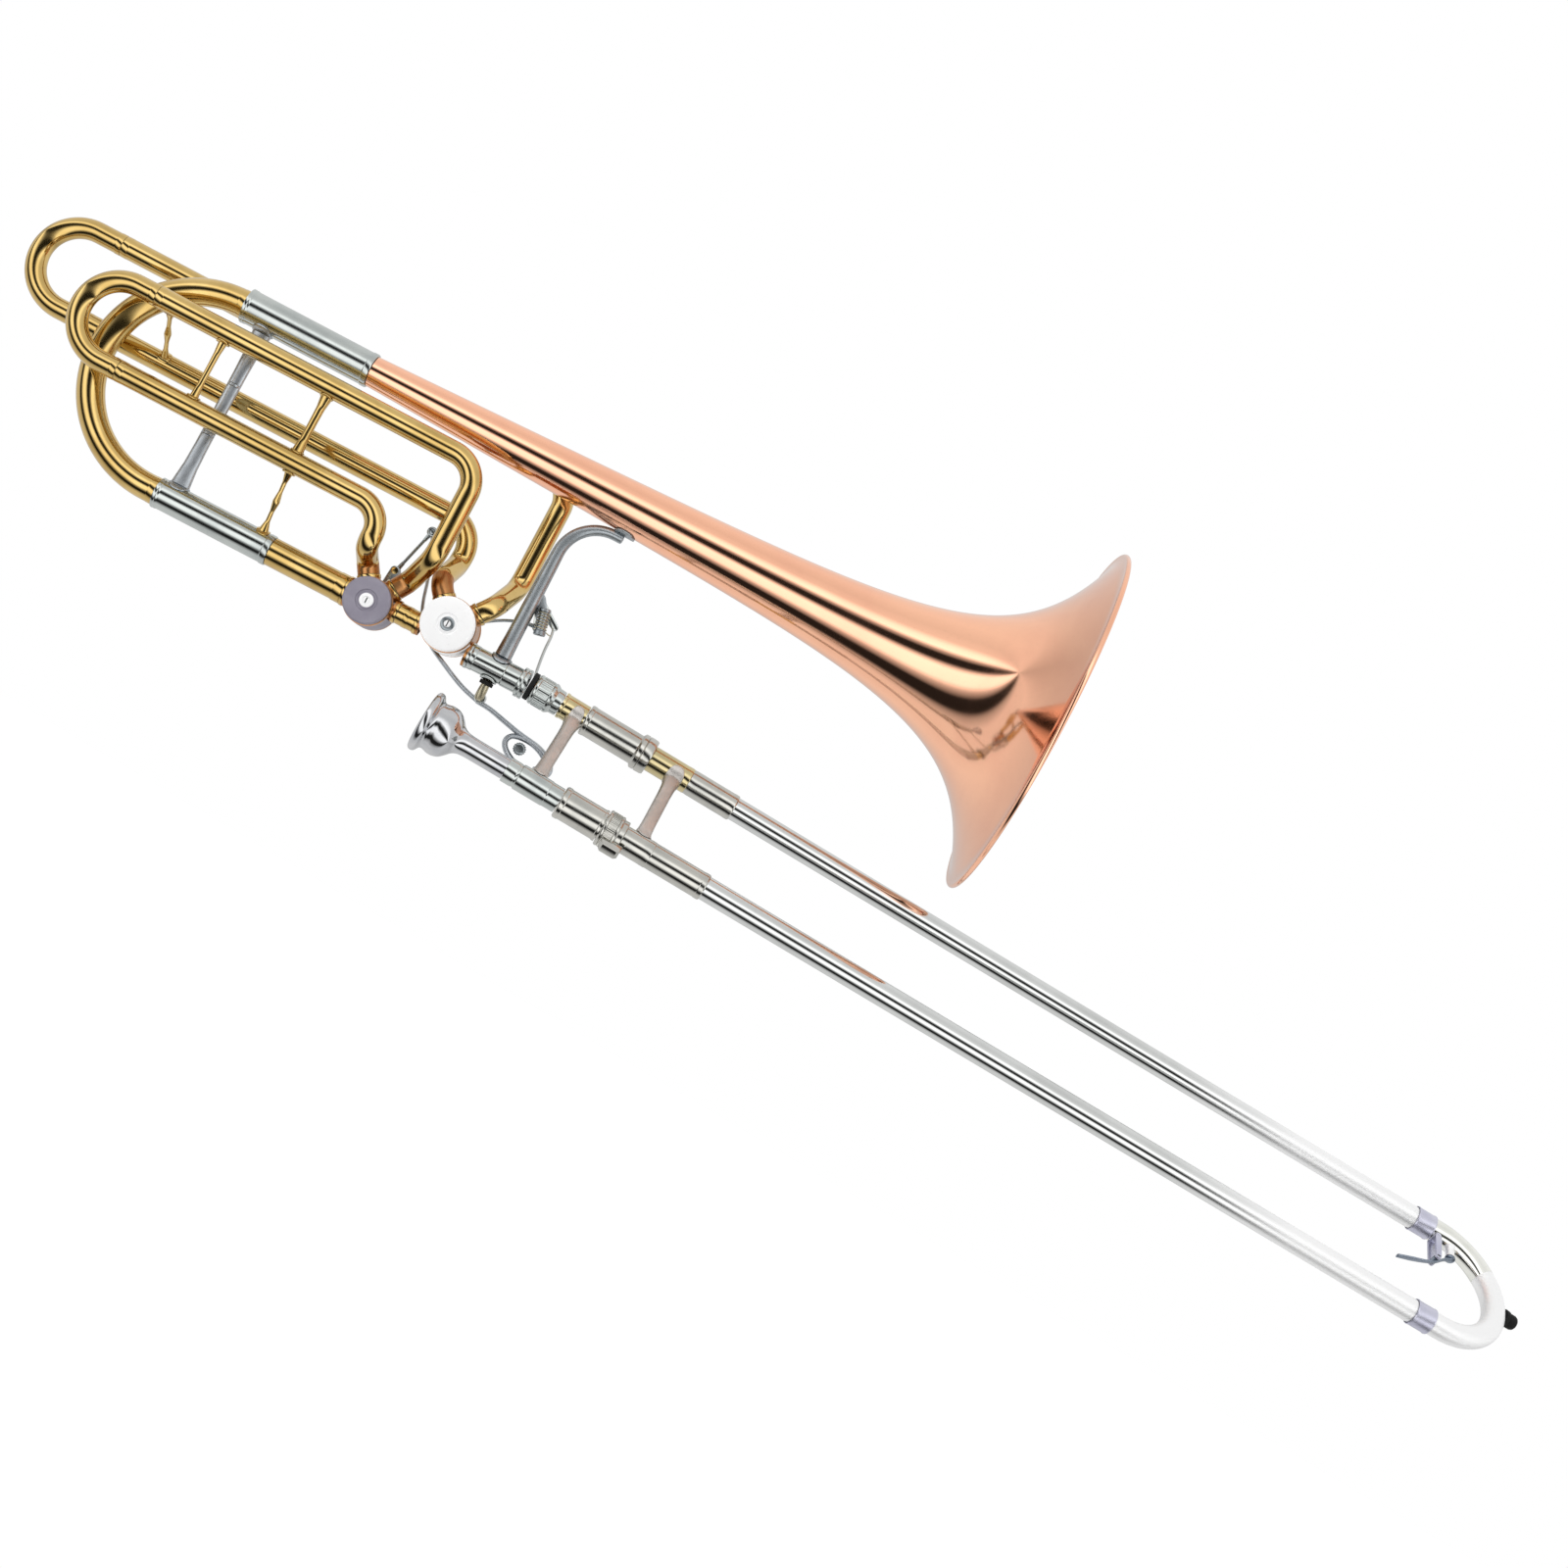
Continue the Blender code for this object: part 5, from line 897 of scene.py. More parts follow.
def make_thumb_trigger():
    """The thumb lever with its curved paddle, and the bracket with its axle and sprung barrel."""
    pivot = at_depth(THUMB_PIVOT)
    axis = BARREL_END - BARREL_TOP
    reach = axis.length
    middle = (BARREL_TOP + BARREL_END) / 2
    barrel = [(0, 0), (0, 3.4), (0.6, 3.9), (2.0, 3.9), (2.4, 3.3), (reach - 3.6, 3.3), (reach - 3.2, 4.0),
              (reach - 0.6, 4.0), (reach, 3.4), (reach, 0)]
    hook = [BARREL_END - axis.normalized() * 4.0 + ALONG * 3.4, BARREL_END + Vector((5.6, 2.0, 3.2)),
            BARREL_END + Vector((6.4, 6.0, 3.4))]
    piece("thumb_bracket", "thumb_lever_bracket",
          [plate(BRACE_NICKEL, bar_outline(THUMB_PIVOT, middle.xz, 4.6, 3.8), (5.7, 8.5), 0.5),
           pin(THUMB_PIVOT, (6.0, 26.7), AXLE_RADIUS),
           turned(BRACE_NICKEL, barrel, BARREL_TOP, axis, 40),
           spring(WIRE, 6.0, 3.75, reach - 6.2, 0.5, BARREL_TOP + axis.normalized() * 2.7, axis),
           swept(WIRE, hook, 0.42, sides=8)])

    hub = [(9.1, 2.6), (9.1, 3.4), (10.2, 3.6), (11.0, 3.2), (21.6, 3.2), (22.4, 3.6), (30.0, 3.6),
           (30.0, 2.6)]
    paddle = flowing([(x, 17.0, z) for x, z in ((-19.5, 43.6), (-17.0, 41.2), (-15.7, 36.0), (-15.2, 25.0),
                                                (-13.4, 11.0), (-11.2, 0.0))])
    piece("thumb_paddle", "thumb_lever",
          [turned(NICKEL, hub, pivot, ACROSS, 32, 0.2),
           plate(NICKEL, bar_outline(THUMB_PIVOT, THUMB_ARM_END, 3.4, 3.2), LEVER_LAYER, 0.4),
           plate(NICKEL, bar_outline(THUMB_PIVOT, THUMB_PADDLE_ROOT, 3.2, 2.4), (14.9, 19.1), 0.6),
           pin(THUMB_ARM_END, (24.4, 30.1), PIN_RADIUS),
           *screw(STEEL, at_depth(THUMB_ARM_END, 29.7), ACROSS, 2.3, 0.8),
           swept(NICKEL, paddle, 0.9, [1.4, 2.2, 4.0, 6.2, 6.6, 6.2, 3.6], ACROSS, 32)], body="thumb_trigger")


def on_scroll(degrees, wound=0.0):
    """A point of the finger lever's scroll. Its curl has wound inwards by some degrees."""
    wide, tall = FINGER_SCROLL_SIZE
    a = (wide - wound * 0.035) * math.cos(math.radians(degrees))
    b = (tall - wound * 0.016) * math.sin(math.radians(degrees))
    tilt = FINGER_SCROLL_TILT
    return FINGER_SCROLL + Vector((a * math.cos(tilt) - b * math.sin(tilt), 0,
                                   a * math.sin(tilt) + b * math.cos(tilt)))


def make_finger_trigger():
    """The long finger lever with its scrolled loop, and its post with the black stop."""
    pivot = at_depth(FINGER_PIVOT)
    root = ALONG * pivot.x
    base = root + ACROSS * 0.5
    stalk = [(8.6, 0), (8.6, 4.2), (9.6, 3.2), (11.4, 2.7), (13.0, 2.9), (16.5, 3.1), (20.5, 3.1),
             (23.0, 2.4), (23.6, 0)]
    piece("finger_post", "finger_lever_post",
          [foot(NICKEL, RECEIVER_RADIUS, 40, 11.5, root, -UP), turned(WIRE, stalk, base, -UP, 32),
           ring(RUBBER_AND_SLOT_SHADE, (9.7, 12.3), 4.6, 3.2, base, -UP, 32, 0.4),
           pin(FINGER_PIVOT, (1.2, 15.6), AXLE_RADIUS),
           *screw(STEEL, at_depth(FINGER_PIVOT, 15.5), ACROSS, 2.5, 0.5)])

    hub = [(5.1, 2.6), (5.1, 3.5), (5.8, 3.7), (14.2, 3.7), (14.9, 3.5), (14.9, 2.6)]
    back = sum(LEVER_LAYER) / 2
    left = [pivot + Vector(step) for step in (
        (0, 10.0, -2.8), (-14.0, 11.0, 1.0), (-30.0, 14.0, 8.0), (-46.0, back - 6.0, 16.0),
        (-58.0, back, 26.0), (-64.0, back, 38.0), (-69.0, back, 55.0), (-75.0, back, 70.0))]
    left.append(at_depth(FINGER_ARM_END, back))
    right = [pivot + Vector(step) for step in (
        (-1.0, 10.0, -2.8), (9.0, 10.0, -3.6), (20.0, 10.0, -6.0), (32.0, 10.0, -8.6))]
    right += [on_scroll(104 - turn) for turn in range(0, 310, 10)]
    right += [on_scroll(154 - turn, turn) for turn in range(0, 200, 14)]
    knob = [(-3.4, 0), (-3.4, 3.0), (-2.8, 3.9), (2.8, 3.9), (3.4, 3.0), (3.4, 0)]
    piece("finger_scroll", "finger_lever",
          [turned(NICKEL, hub, pivot, ACROSS, 32, 0.2),
           swept(BLUE_STAY, flowing(left), [1.6, 1.6, 1.5, 1.3, 1.15, 1.15, 1.15],
                 [1.4, 1.2, 1.2, 1.1, 1.1, 1.1], ACROSS, 20),
           ring(NICKEL, LEVER_LAYER, 3.4, 0, at_depth(FINGER_ARM_END), ACROSS, 32, 0.5),
           pin(FINGER_ARM_END, (24.4, 28.0), PIN_RADIUS),
           swept(BLUE_STAY, flowing(right, 3), [1.7, 1.9, 2.0, 2.0, 1.9, 1.7, 1.3],
                 [1.6, 1.6, 1.6, 1.6, 1.5, 1.4], ACROSS, 20),
           turned(STEEL, knob, FINGER_KNOB, ACROSS, 28, 0.3),
           knurl(STEEL, 16, 3.8, 0.5, 5.0, FINGER_KNOB, ACROSS)], body="finger_trigger")


def make_loops():
    """The fixed tubes of the two loops, from a valve's port to the tuning slide, with their ferrules."""
    ferrule = [(-2.2, LOOP_RADIUS - 0.6), (-2.2, LOOP_RADIUS - 0.1), (-1.9, LOOP_RADIUS), (1.9, LOOP_RADIUS),
               (2.2, LOOP_RADIUS - 0.1), (2.2, LOOP_RADIUS - 0.6)]
    tubes = (("f_loop_low_tube", F_VALVE, 0, (-92.0, 0.376), (12, 12, LOOP_CORNER), F_LOOP, "low"),
             ("f_loop_top_tube", F_VALVE, 1, (-50.0, 0.406), (14, 16, LOOP_CORNER), F_LOOP, "top"),
             ("g_loop_low_tube", G_VALVE, 0, (-142.3, 0.233), (9, 9, LOOP_CORNER - 2), G_LOOP, "low"),
             ("g_loop_top_tube", G_VALVE, 1, (-101.2, 0.331), (14, 16, LOOP_CORNER), G_LOOP, "top"))
    for name, valve, port, (turn_x, share), radii, loop, level in tubes:
        centre = at_depth((valve["x"], valve["z"]))
        way = heading(valve["ports"][port])
        first = valve["radius"] + STUB_LENGTH + JOIN_GAP
        y, z = loop["y"], loop[level]
        path = route([centre + way * first, centre + way * (first + 10.0), (turn_x, y, BELL_SPACING * share),
                      (turn_x, y, z), (loop["end"], y, z)], radii)
        parts = [drawn(YELLOW_BRASS, path, LOOP_RADIUS - 0.1),
                 turned(YELLOW_BRASS, ferrule, Vector((loop["end"] + 2.3, y, z)))]
        if name in COPPER_RUNS:
            parts.append(drawn(RED_BRASS, path[:COPPER_RUNS[name]], LOOP_RADIUS - 0.02))
        piece(name.replace("_tube", "_run"), name, parts)


def make_tuning_slides():
    """The bows that draw out to the left, with their legs."""
    ferrule = [(-4.2, LOOP_RADIUS - 0.6), (-4.2, LOOP_RADIUS - 0.1), (-3.6, LOOP_RADIUS), (-0.5, LOOP_RADIUS),
               (0, LOOP_RADIUS - 0.3), (0, LOOP_RADIUS - 0.6)]
    for name, loop in (("f_tuning", F_LOOP), ("g_tuning", G_LOOP)):
        end_x = loop["end"] - JOIN_GAP
        path = crook((end_x, end_x), loop["bow"], loop["low"], loop["top"], loop["y"], 40)
        parts = [drawn(YELLOW_BRASS, path, LOOP_RADIUS - 0.22)]
        for level in ("low", "top"):
            at = Vector((0, loop["y"], loop[level]))
            parts += [pipe(NICKEL, (end_x - 4.0, end_x + LOOP_LEG_LENGTH), LOOP_LEG_RADIUS, at),
                      turned(YELLOW_BRASS, ferrule, at + ALONG * end_x)]
        piece(name + "_crook", name + "_bow", parts, body=name + "_slide")

    upper_x = UPPER_SLEEVE_X[0]
    lower_x = LOWER_SLEEVE_X[0]
    ends_x = (lower_x - JOIN_GAP, upper_x - JOIN_GAP)
    parts = [drawn(YELLOW_BRASS, crook(ends_x, upper_x - 2.0, 0, BELL_SPACING, 0, 60),
                   MAIN_BOW_RADIUS - 0.15, 0.8, 64)]
    for x, at in zip(ends_x, (ORIGIN, STEM)):
        parts.append(ring(YELLOW_BRASS, (x - 4.0, x), MAIN_BOW_RADIUS, MAIN_BOW_RADIUS - 0.6, at))
    piece("main_crook", "main_tuning_bow", parts, body="main_tuning_slide")
    for name, x, radius, at in (("upper_leg", upper_x, MAIN_BOW_RADIUS, STEM),
                                ("lower_leg", lower_x, LOWER_LEG_RADIUS, ORIGIN)):
        piece("main_crook_" + name, "main_" + name,
              [pipe(NICKEL, (x, x + MAIN_LEG_LENGTH), radius, at)], body="main_tuning_slide")


def make_braces():
    """The braces of the bell section."""
    low = ALONG * SLIDE_BRACE_X + UP * (LOWER_SLEEVE_RADIUS + 0.9)
    high = ALONG * SLIDE_BRACE_X + UP * (BELL_SPACING - UPPER_SLEEVE_RADIUS - 0.9)
    parts = [swept(BLUE_STAY, straight(low, high, 40), [6.4, 5.0, 4.6, 4.5, 4.5, 4.5, 4.6, 5.0, 6.4], 0.56,
                   ACROSS, 32),
             foot(BLUE_STAY, LOWER_SLEEVE_RADIUS, 48, 13.6, ALONG * SLIDE_BRACE_X),
             foot(BLUE_STAY, UPPER_SLEEVE_RADIUS, 48, 13.6, ALONG * SLIDE_BRACE_X + STEM, -UP)]
    collar = [(-1.2, 0), (-1.2, 3.4), (-0.6, 4.2), (0.6, 4.2), (1.2, 3.4), (1.2, 0)]
    for share in (0.34, 0.66):
        parts.append(turned(BLUE_STAY, collar, low.lerp(high, share), UP, 40))
    piece("tuning_slide_stay", "tuning_slide_brace", parts)

    y, low_z, top_z = G_LOOP["y"], G_LOOP["low"], G_LOOP["top"]
    struts = []
    for name, width in (("left", 2.2), ("right", 3.0)):
        x = LOOP_BRACES_X[name]
        radii = [width * share for share in (1.3, 0.95, 0.9, 0.9, 0.95, 1.3)]
        struts.append(("loop_stay_" + name, "loop_brace_" + name, radii, (x, y, low_z), LOOP_RADIUS, 38,
                       (x, y, top_z)))
    radii = [3.4, 1.5, 1.4, 2.4, 1.4, 1.5, 2.8]
    struts += [("loop_post_stay", "loop_post", radii, (LOOP_POST_X, 0, 0), LOWER_SLEEVE_RADIUS, 34,
                (LOOP_POST_X, y, low_z)),
               ("loop_tie_stay", "loop_tie", radii, (LOOP_TIE_X, y, top_z), LOOP_RADIUS, 34,
                (LOOP_TIE_X, F_LOOP["y"], F_LOOP["low"]))]
    for name, node, radii, first, first_radius, first_angle, last in struts:
        first, last = Vector(first), Vector(last)
        lean = (last - first).normalized()
        path = straight(first + lean * first_radius, last - lean * LOOP_RADIUS, 36)
        piece(name, node,
              [swept(YELLOW_BRASS, path, radii, sides=28),
               foot(YELLOW_BRASS, first_radius, first_angle, 8.8, first, lean, 0.9),
               foot(YELLOW_BRASS, LOOP_RADIUS, 38, 8.8, last, -lean, 0.9)])


def make_hand_brace():
    """The curved brace that the left hand closes round."""
    x, top_x = HAND_BRACE_X, HAND_BRACE_TOP_X
    neck = bell_radius(BELL_MOUTH_X - top_x)
    top = BELL_SPACING - neck - HAND_BRACE_DROP
    path = route([(x, 0, RECEIVER_RADIUS + 0.8), (x, 0, top), (top_x, 0, top)], [HAND_BRACE_BEND])
    smooth = []
    for first, second in zip(path, path[1:]):
        smooth += straight(first, second, max(1, int((second - first).length / 2.0)))[:-1]
    smooth.append(path[-1])
    piece("hand_stay", "hand_brace",
          [swept(BRACE_NICKEL, smooth, [5.6, 5.2, 5.0, 4.9, 4.7, 4.5, 4.2, 3.9, 3.6, 3.4], sides=36),
           foot(BRACE_NICKEL, RECEIVER_RADIUS, 56, 13.6, ALONG * x),
           foot(BRACE_NICKEL, neck + 0.15, 25, 14.6, ALONG * top_x + STEM, -UP, 1.4,
                ALONG - UP * BELL_TAPER)])


def make_joint():
    """The rubber ring and the milled nut between the bell section and the hand slide."""
    piece("joint_gasket", "joint_ring",
          [ring(RUBBER_AND_SLOT_SHADE, (-12.1, -8.9), 9.6, RECEIVER_BORE, soft=0.5)], SLIDE)
    nut = [(-8.5, 8.0), (-8.5, 9.4), (-7.4, 10.3), (-6.2, 10.4), (-5.6, 9.9), (2.6, 9.9), (3.2, 10.4),
           (4.6, 10.3), (6.0, 9.4), (7.0, 8.7), (10.6, 8.5), (11.5, 8.3), (11.5, 8.0)]
    piece("joint_nut", "bell_lock_nut",
          [turned(NICKEL, nut, soft=0.15), knurl(NICKEL, 40, 9.8, 0.45, 7.6, ALONG * -1.5, ALONG)],
          SLIDE, "lock_nut")


def make_slide_stay(name, node, body, x, upper, lower, width):
    """A flat bar across the hand slide that widens into its two feet."""
    at = ALONG * x
    path = straight(at - ACROSS * (upper + 0.6), at + LOWER + ACROSS * (lower + 0.6), 44)
    piece(name, node,
          [swept(STAY_NICKEL, path, [6.2, 4.8, 4.5, 4.5, 4.5, 4.5, 4.5, 4.8, 6.2], 0.62, UP, 36),
           foot(STAY_NICKEL, upper, 72, width, at, -ACROSS, 1.0),
           foot(STAY_NICKEL, lower, 72, width, at + LOWER, ACROSS, 1.0)], SLIDE, body)


def make_inner_slide():
    """Inner tubes, neck, mouthpiece holder, cork barrels and their brace."""
    for name, at in (("upper", ORIGIN), ("lower", LOWER)):
        piece(name + "_stocking_tube", name + "_inner_tube",
              [pipe(PLATE, (INNER_TUBES_X[name], INNER_TUBE_END_X), INNER_RADIUS, at, sides=48)], SLIDE)
    neck = [(12.2, 7.3), (12.2, 8.9), (14.0, 8.9), (14.4, 8.5), (18.0, 8.5), (29.6, 8.5), (29.6, 7.3)]
    holder = [(5.0, 6.7), (5.0, 8.1), (12.0, 8.1), (12.5, 7.8), (13.5, 7.8), (14.0, 8.5), (34.0, 8.5),
              (34.5, 8.2), (42.6, 8.2), (42.6, 7.3), (26.0, 7.3), (26.0, 6.7)]
    upper = [(30.0, 7.3), (30.0, 9.8), (31.0, 10.5), (33.0, 10.5), (33.5, 10.2), (68.0, 10.2), (68.6, 11.0),
             (69.4, 12.2), (72.0, 12.3), (72.5, 11.7), (73.0, 12.3), (77.5, 12.2), (79.0, 11.6), (79.0, 9.5),
             (33.0, 9.5), (33.0, 7.3)]
    lower = [(43.0, 7.3), (43.0, 9.8), (44.0, 10.7), (46.5, 10.7), (47.0, 10.3), (71.0, 10.3), (71.4, 10.7),
             (73.0, 10.7), (73.0, 9.5), (46.0, 9.5), (46.0, 7.3)]
    for name, node, slot, material, outline, at, soft in (
            ("upper_neck", "slide_neck", "lacquered_brass", OLIVE_BRASS, neck, ORIGIN, 0.2),
            ("holder_tube", "mouthpiece_holder", "nickel_silver", NICKEL, holder, LOWER, 0.2),
            ("upper_barrel", "upper_cork_barrel", "nickel_silver", GRIP_NICKEL, upper, ORIGIN, 0.15),
            ("lower_barrel", "lower_cork_barrel", "nickel_silver", GRIP_NICKEL, lower, LOWER, 0.15)):
        piece(name, node, [turned(material, outline, at, soft=soft)], SLIDE)
    make_slide_stay("inner_stay", "inner_brace", "bell_section", INNER_BRACE_X, 8.9, 8.6, 9.4)


def make_slide_bow():
    """The bow of the hand slide with its guard, bumper cup and nipple, and the rubber bumper."""
    half = SLIDE_SPACING / 2
    bow = [(x, y, 0) for x, y in arc((SLIDE_BOW_CENTRE_X, -half), half, 90, -90, 60)]
    path = [(SLIDE_BOW_X, 0, 0), *bow, (SLIDE_BOW_X, -SLIDE_SPACING, 0)]
    guard_end = 19
    tip = Vector((SLIDE_BOW_CENTRE_X + half + OUTER_RADIUS - 0.45, -half, 0))
    cup = [(0, 0), (0, 5.9), (2.4, 5.7), (3.0, 5.5), (3.0, 5.1), (1.4, 5.1), (1.4, 0)]
    root = half - math.sqrt(half ** 2 - (KEY_PAD_X - SLIDE_BOW_CENTRE_X) ** 2) + 7.0
    nipple = [(root, 1.8), (root, 4.4), (root + 2.2, 3.6), (11.0, 3.1), (NIPPLE_TOP - 0.6, 3.0),
              (NIPPLE_TOP, 2.7), (NIPPLE_TOP, 1.8)]
    piece("end_bow", "slide_bow",
          [drawn(GUARD, path[:guard_end + 1], OUTER_RADIUS - 0.05, SLIDE_WALL, 64),
           drawn(PLATE, path[guard_end:], OUTER_RADIUS - 0.15, SLIDE_WALL, 64),
           turned(RUBBER_AND_SLOT_SHADE, cup, tip), turned(PLATE, nipple, ALONG * KEY_PAD_X, -ACROSS, 32)],
          SLIDE, "hand_slide")
    stop = [(1.8, 0), (1.8, 4.7), (3.4, 4.7), (4.0, 5.0), (7.4, 5.0), (8.8, 4.4), (9.6, 3.4), (10.0, 2.0),
            (10.0, 0)]
    piece("bow_bumper", "bumper", [turned(RUBBER_AND_SLOT_SHADE, stop, tip)], SLIDE, "hand_slide")


def make_outer_slide():
    """Outer tubes, grip sleeves, brace and ferrules, and the bow at their end."""
    for name, at in (("upper", ORIGIN), ("lower", LOWER)):
        piece(name + "_long_tube", name + "_outer_tube",
              [pipe(PLATE, OUTER_TUBE_X, OUTER_RADIUS - 0.1, at, sides=64)], SLIDE, "hand_slide")
    start = [(62.0, 8.3), (62.0, 8.7), (104.0, 8.7), (104.4, GRIP_RADIUS), (107.6, GRIP_RADIUS)]
    front = start + [(108.0, 8.5), (108.0, 8.3)]
    back = [(108.0, 8.3), (108.0, 8.5), (110.5, 8.7), (138.0, 8.7), (138.4, GRIP_RADIUS),
            (141.2, GRIP_RADIUS), (142.0, 8.4), (142.0, 8.3)]
    grip = start + [(108.0, 8.6), (143.0, 8.6), (143.4, GRIP_RADIUS), (146.2, GRIP_RADIUS), (147.0, 8.4),
                    (147.0, 8.3)]
    piece("upper_grip", "upper_grip_sleeve",
          [turned(OLIVE_BRASS, front, soft=0.1), turned(GRIP_NICKEL, back, soft=0.1)], SLIDE, "hand_slide")
    piece("lower_grip", "lower_grip_sleeve", [turned(GRIP_NICKEL, grip, LOWER, soft=0.1)],
          SLIDE, "hand_slide")
    make_slide_stay("outer_stay", "outer_brace", "hand_slide", OUTER_BRACE_X, GRIP_RADIUS, GRIP_RADIUS, 11.8)
    ferrule = [(674.0, 8.3), (674.0, 8.7), (674.8, 8.9), (675.8, 8.6), (686.2, 8.6), (687.2, 8.9),
               (688.0, 8.7), (688.0, 8.3)]
    for name, at in (("upper_bow_", ORIGIN), ("lower_bow_", LOWER)):
        piece(name + "collar", name + "ferrule", [turned(FERRULE, ferrule, at, soft=0.1)],
              SLIDE, "hand_slide")
    make_slide_bow()


def make_water_key():
    """The post with its screw and spring, and the key with its cork."""
    hinge = Vector((KEY_HINGE[0], -KEY_HINGE[1], 0))
    x, y = hinge.x, hinge.y
    cheek = [(x - 2.5, -8.0), (x + 2.5, -8.0), (x + 2.2, y + 1.0), *arc((x, y), 2.1, 0, -180, 10),
             (x - 2.2, y + 1.0)]
    parts = [foot(FERRULE, OUTER_RADIUS, 38, 6.0, ALONG * x, -ACROSS)]
    for side in (-1, 1):
        parts += [plate(FERRULE, cheek, sorted((side * 2.9, side * 4.8)), 0.25, lying=True),
                  *screw(STEEL, hinge + UP * (side * 4.3), UP * side, 1.6, 0.55, 20)]
    parts.append(ring(STEEL, (-4.6, 4.6), 0.95, 0, hinge, UP, 16))
    piece("key_post", "water_key_post", parts, SLIDE, "hand_slide")

    lever = flowing([(x, y, 0) for x, y in ((705.0, -18.9), (699.5, -22.2), (692.0, -29.6), (684.0, -34.6),
                                            (674.0, -39.4), (662.4, -44.6))])
    parts = [swept(KEY_NICKEL, lever, [0.9, 0.8, 0.8, 0.7, 0.7, 0.8], [2.4, 2.4, 2.0, 2.6, 3.2, 2.2], UP),
             ring(KEY_NICKEL, (-2.4, 2.4), 2.1, 1.35, hinge, UP, 24)]
    for side in (-1, 1):
        parts.append(spring(STEEL, 2.0, 1.75, 1.1, 0.24, hinge + UP * (side * 1.2), UP * side))
    cup = [(1.1, 0), (1.1, 3.5), (2.4, 3.5), (2.8, 2.4), (2.8, 0)]
    cork = [(0.4, 0), (0.4, 2.9), (0.7, 3.2), (1.2, 3.2), (1.2, 0)]
    pad = Vector((KEY_PAD_X, -NIPPLE_TOP, 0))
    parts += [turned(KEY_NICKEL, cup, pad, -ACROSS, 32, 0.2), turned(CORK, cork, pad, -ACROSS, 32)]
    piece("key_lever", "water_key", parts, SLIDE, "water_key_lever")


def make_lock_ring():
    """The milled ring and lug that lock the slide."""
    outline = [(73.6, 9.35), (73.6, 11.6), (74.4, 12.2), (75.4, 12.2), (75.8, 11.7), (81.6, 11.7),
               (82.0, 12.2), (83.2, 12.2), (84.2, 10.9), (87.2, 10.9), (87.6, 10.5), (87.6, 9.35)]
    y = -SLIDE_SPACING
    lug = [(76.8, y - 10.8), (90.4, y - 10.8), (90.4, y - 16.4), (88.6, y - 18.2), (78.8, y - 18.2),
           (76.8, y - 15.4)]
    piece("lock_collar", "slide_lock_ring",
          [turned(GRIP_NICKEL, outline, LOWER, soft=0.15),
           knurl(GRIP_NICKEL, 64, 11.75, 0.34, 5.4, LOWER + ALONG * 78.7, ALONG),
           plate(GRIP_NICKEL, lug, (-3.4, 3.4), 0.7, lying=True)], SLIDE, "slide_lock")


def make_mouthpiece():
    """The mouthpiece: rounded rim, bowl, shoulder and shank."""
    bowl = []
    for number in range(1, 24):
        share = number / 24
        bowl.append((2.6 + 24.4 * share, 3.4 + 10.2 * math.cos(share * math.pi / 2)))
    lip = [(2.6, 13.6), (1.4, 14.0), (0.5, 14.8), (0.05, 16.0), (0, 17.0), (0.3, 18.4), (1.0, 19.4),
           (2.0, 19.9), (3.4, 19.9), (4.6, 19.4), (5.4, 18.4), (6.2, 17.0), (7.0, 16.0), (8.0, 15.7)]
    back = flowing([(8.4, 15.65), (10.0, 16.0), (12.5, 16.6), (16.0, 16.4), (19.5, 15.0), (22.5, 12.2),
                    (25.0, 9.4), (28.0, 7.7), (32.0, 7.1), (36.0, 6.95)], 6)
    shank = [(4.6, 6.9), (4.65, 6.1), (25.0, 6.1), (25.0, 4.5)]
    outline = [(MOUTHPIECE_RIM_X + depth, radius)
               for depth, radius in [(27.0, 3.4), *reversed(bowl), *lip, *back]] + shank
    piece("mouthpiece_cup", "mouthpiece", [turned(SILVER, outline, LOWER, sides=80)],
          SLIDE, "mouthpiece")


def studio_metal_world():
    """A white studio. Polished metal sees its bands, with the dark gap round the camera."""
    world = bpy.data.worlds.new("studio")
    bpy.context.scene.world = world
    world.use_nodes = True
    tree = world.node_tree
    tree.nodes.clear()
    direction = output_of(tree, "ShaderNodeTexCoord", output="Generated")
    split = add_node(tree, "ShaderNodeSeparateXYZ", {"Vector": direction}).outputs
    tilted = output_of(tree, "ShaderNodeMath", {0: split["X"], 1: STUDIO_LEAN, 2: split["Z"]},
                       operation="MULTIPLY_ADD")
    rise = output_of(tree, "ShaderNodeMath", {0: tilted, 1: product(tree, split["Y"], -1.0)},
                     operation="ARCTAN2")
    ramp = add_node(tree, "ShaderNodeValToRGB", {"Fac": ranged(tree, rise, (-math.pi, math.pi))})
    stops = ramp.color_ramp.elements
    stops.remove(stops[-1])
    for position, level in STUDIO_BANDS:
        stop = stops.new(position) if position > 0 else stops[0]
        stop.color = (level, level, level, 1)
    mirror, plain, white = (
        output_of(tree, "ShaderNodeBackground", {"Color": colour, "Strength": strength})
        for colour, strength in ((ramp.outputs[0], 1.0), ((1, 1, 1, 1), 0.75), ((1, 1, 1, 1), 1.0)))
    path = add_node(tree, "ShaderNodeLightPath").outputs
    lit = shader_mix(tree, path["Is Glossy Ray"], plain, mirror)
    add_node(tree, "ShaderNodeOutputWorld", {"Surface": shader_mix(tree, path["Is Camera Ray"], lit, white)})


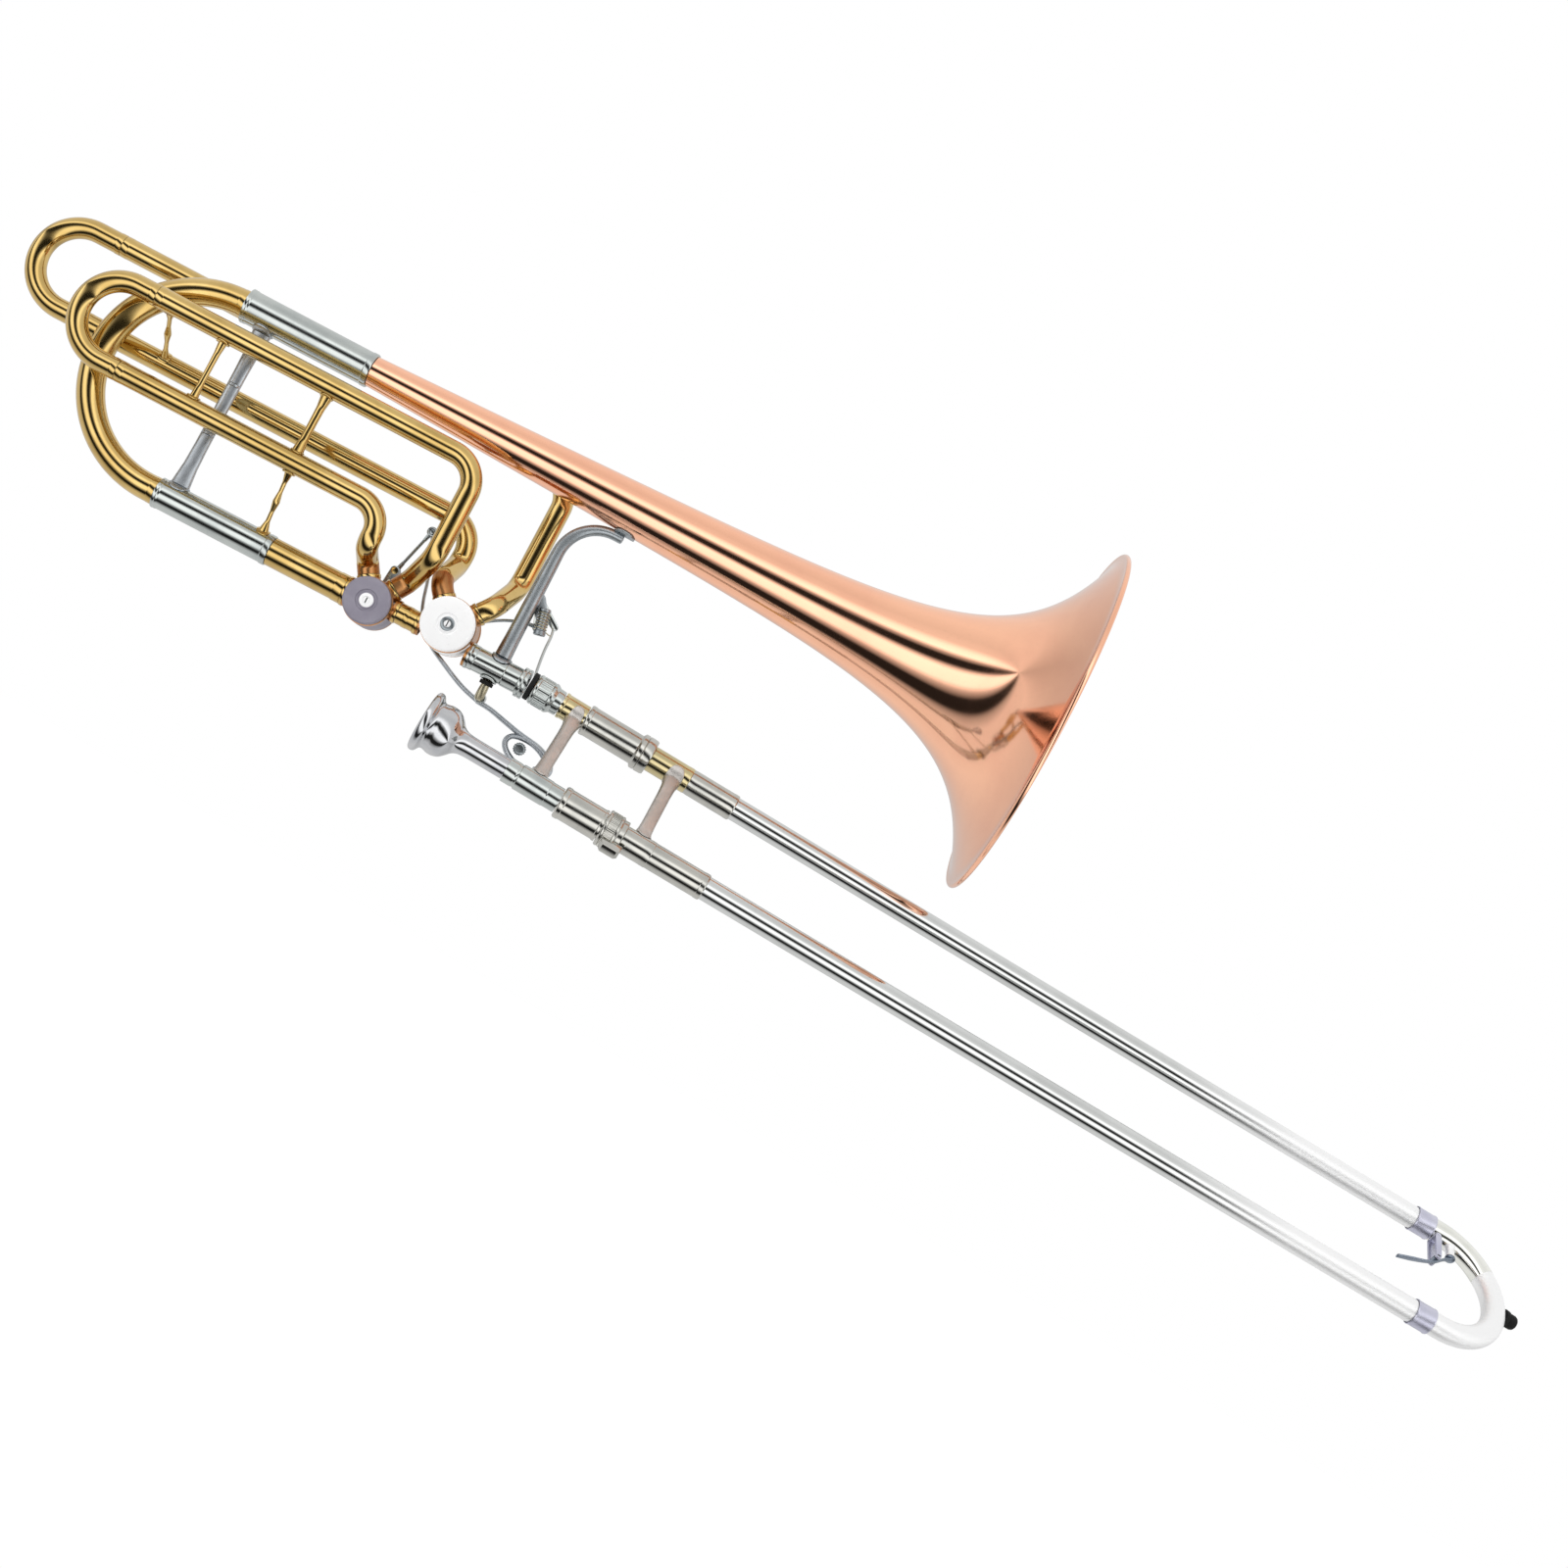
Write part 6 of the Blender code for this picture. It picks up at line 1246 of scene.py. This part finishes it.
def make_floor():
    """The pale floor, which polished metal doesn't see."""
    material = bpy.data.materials.new("pale_floor")
    material.use_nodes = True
    tree = material.node_tree
    shader = tree.nodes["Principled BSDF"]
    plug(tree, shader.inputs, {"Base Color": (0.92, 0.92, 0.92, 1), "Roughness": 0.9})
    path = add_node(tree, "ShaderNodeLightPath").outputs
    white = output_of(tree, "ShaderNodeEmission", {"Color": (1, 1, 1, 1), "Strength": 1.04})
    blend = shader_mix(tree, product(tree, path["Is Camera Ray"], 0.9), shader.outputs[0], white)
    clear = output_of(tree, "ShaderNodeBsdfTransparent")
    plug(tree, tree.nodes["Material Output"].inputs,
         {"Surface": shader_mix(tree, path["Is Glossy Ray"], blend, clear)})
    mesh = bpy.data.meshes.new("floor")
    corners = [(x, y, FLOOR_HEIGHT) for x, y in ((-4, -1.3), (4, -1.3), (4, 5), (-4, 5))]
    mesh.from_pydata(corners, [], [(0, 1, 2, 3)])
    mesh.materials.append(material)
    floor = bpy.data.objects.new("floor", mesh)
    bpy.context.collection.objects.link(floor)


def add_viewer(name, data, place, turn):
    """A lamp or a camera at a place in metres, turned by angles in degrees."""
    viewer = bpy.data.objects.new(name, data)
    viewer.location = place
    viewer.rotation_euler = [math.radians(angle) for angle in turn]
    bpy.context.collection.objects.link(viewer)
    return viewer


def make_studio():
    """The floor, two soft lamps and the camera."""
    make_floor()
    for name, place, turn, size, power in (
            ("overhead_softbox", (0.2, -0.3, 1.6), (0, 0, 0), 1.6, 14.0),
            ("side_softbox", (-1.6, -1.2, 0.7), (60, 0, -52), 1.0, 8.0)):
        light = bpy.data.lights.new(name, "AREA")
        light.size = size
        light.energy = power
        add_viewer(name, light, place, turn).visible_glossy = False
    camera = bpy.data.cameras.new("camera")
    camera.sensor_width = 36.0
    camera.lens = CAMERA_LENS
    scene = bpy.context.scene
    scene.camera = add_viewer("camera", camera, CAMERA_PLACE, CAMERA_TURN)
    scene.view_settings.view_transform = "Standard"


make_bell()
make_main_line()
make_valve("f_valve", F_VALVE, ((VALVE_LINK_RISE, VALVE_LINK_RADIUS), (0, RECEIVER_RADIUS)),
           WHITE_CAP, STEEL)
make_valve("g_valve", G_VALVE, ((0, GOOSENECK_RADIUS), (VALVE_LINK_RISE, VALVE_LINK_RADIUS)),
           GREY_CAP, WHITE_CAP)
make_linkage("f", F_VALVE, F_ARM, THUMB_ARM_END, 5.0)
make_linkage("g", G_VALVE, G_ARM, FINGER_ARM_END, 0.0)
make_thumb_trigger()
make_finger_trigger()
make_loops()
make_tuning_slides()
make_braces()
make_hand_brace()
make_joint()
make_inner_slide()
make_outer_slide()
make_water_key()
make_lock_ring()
make_mouthpiece()
studio_metal_world()
make_studio()
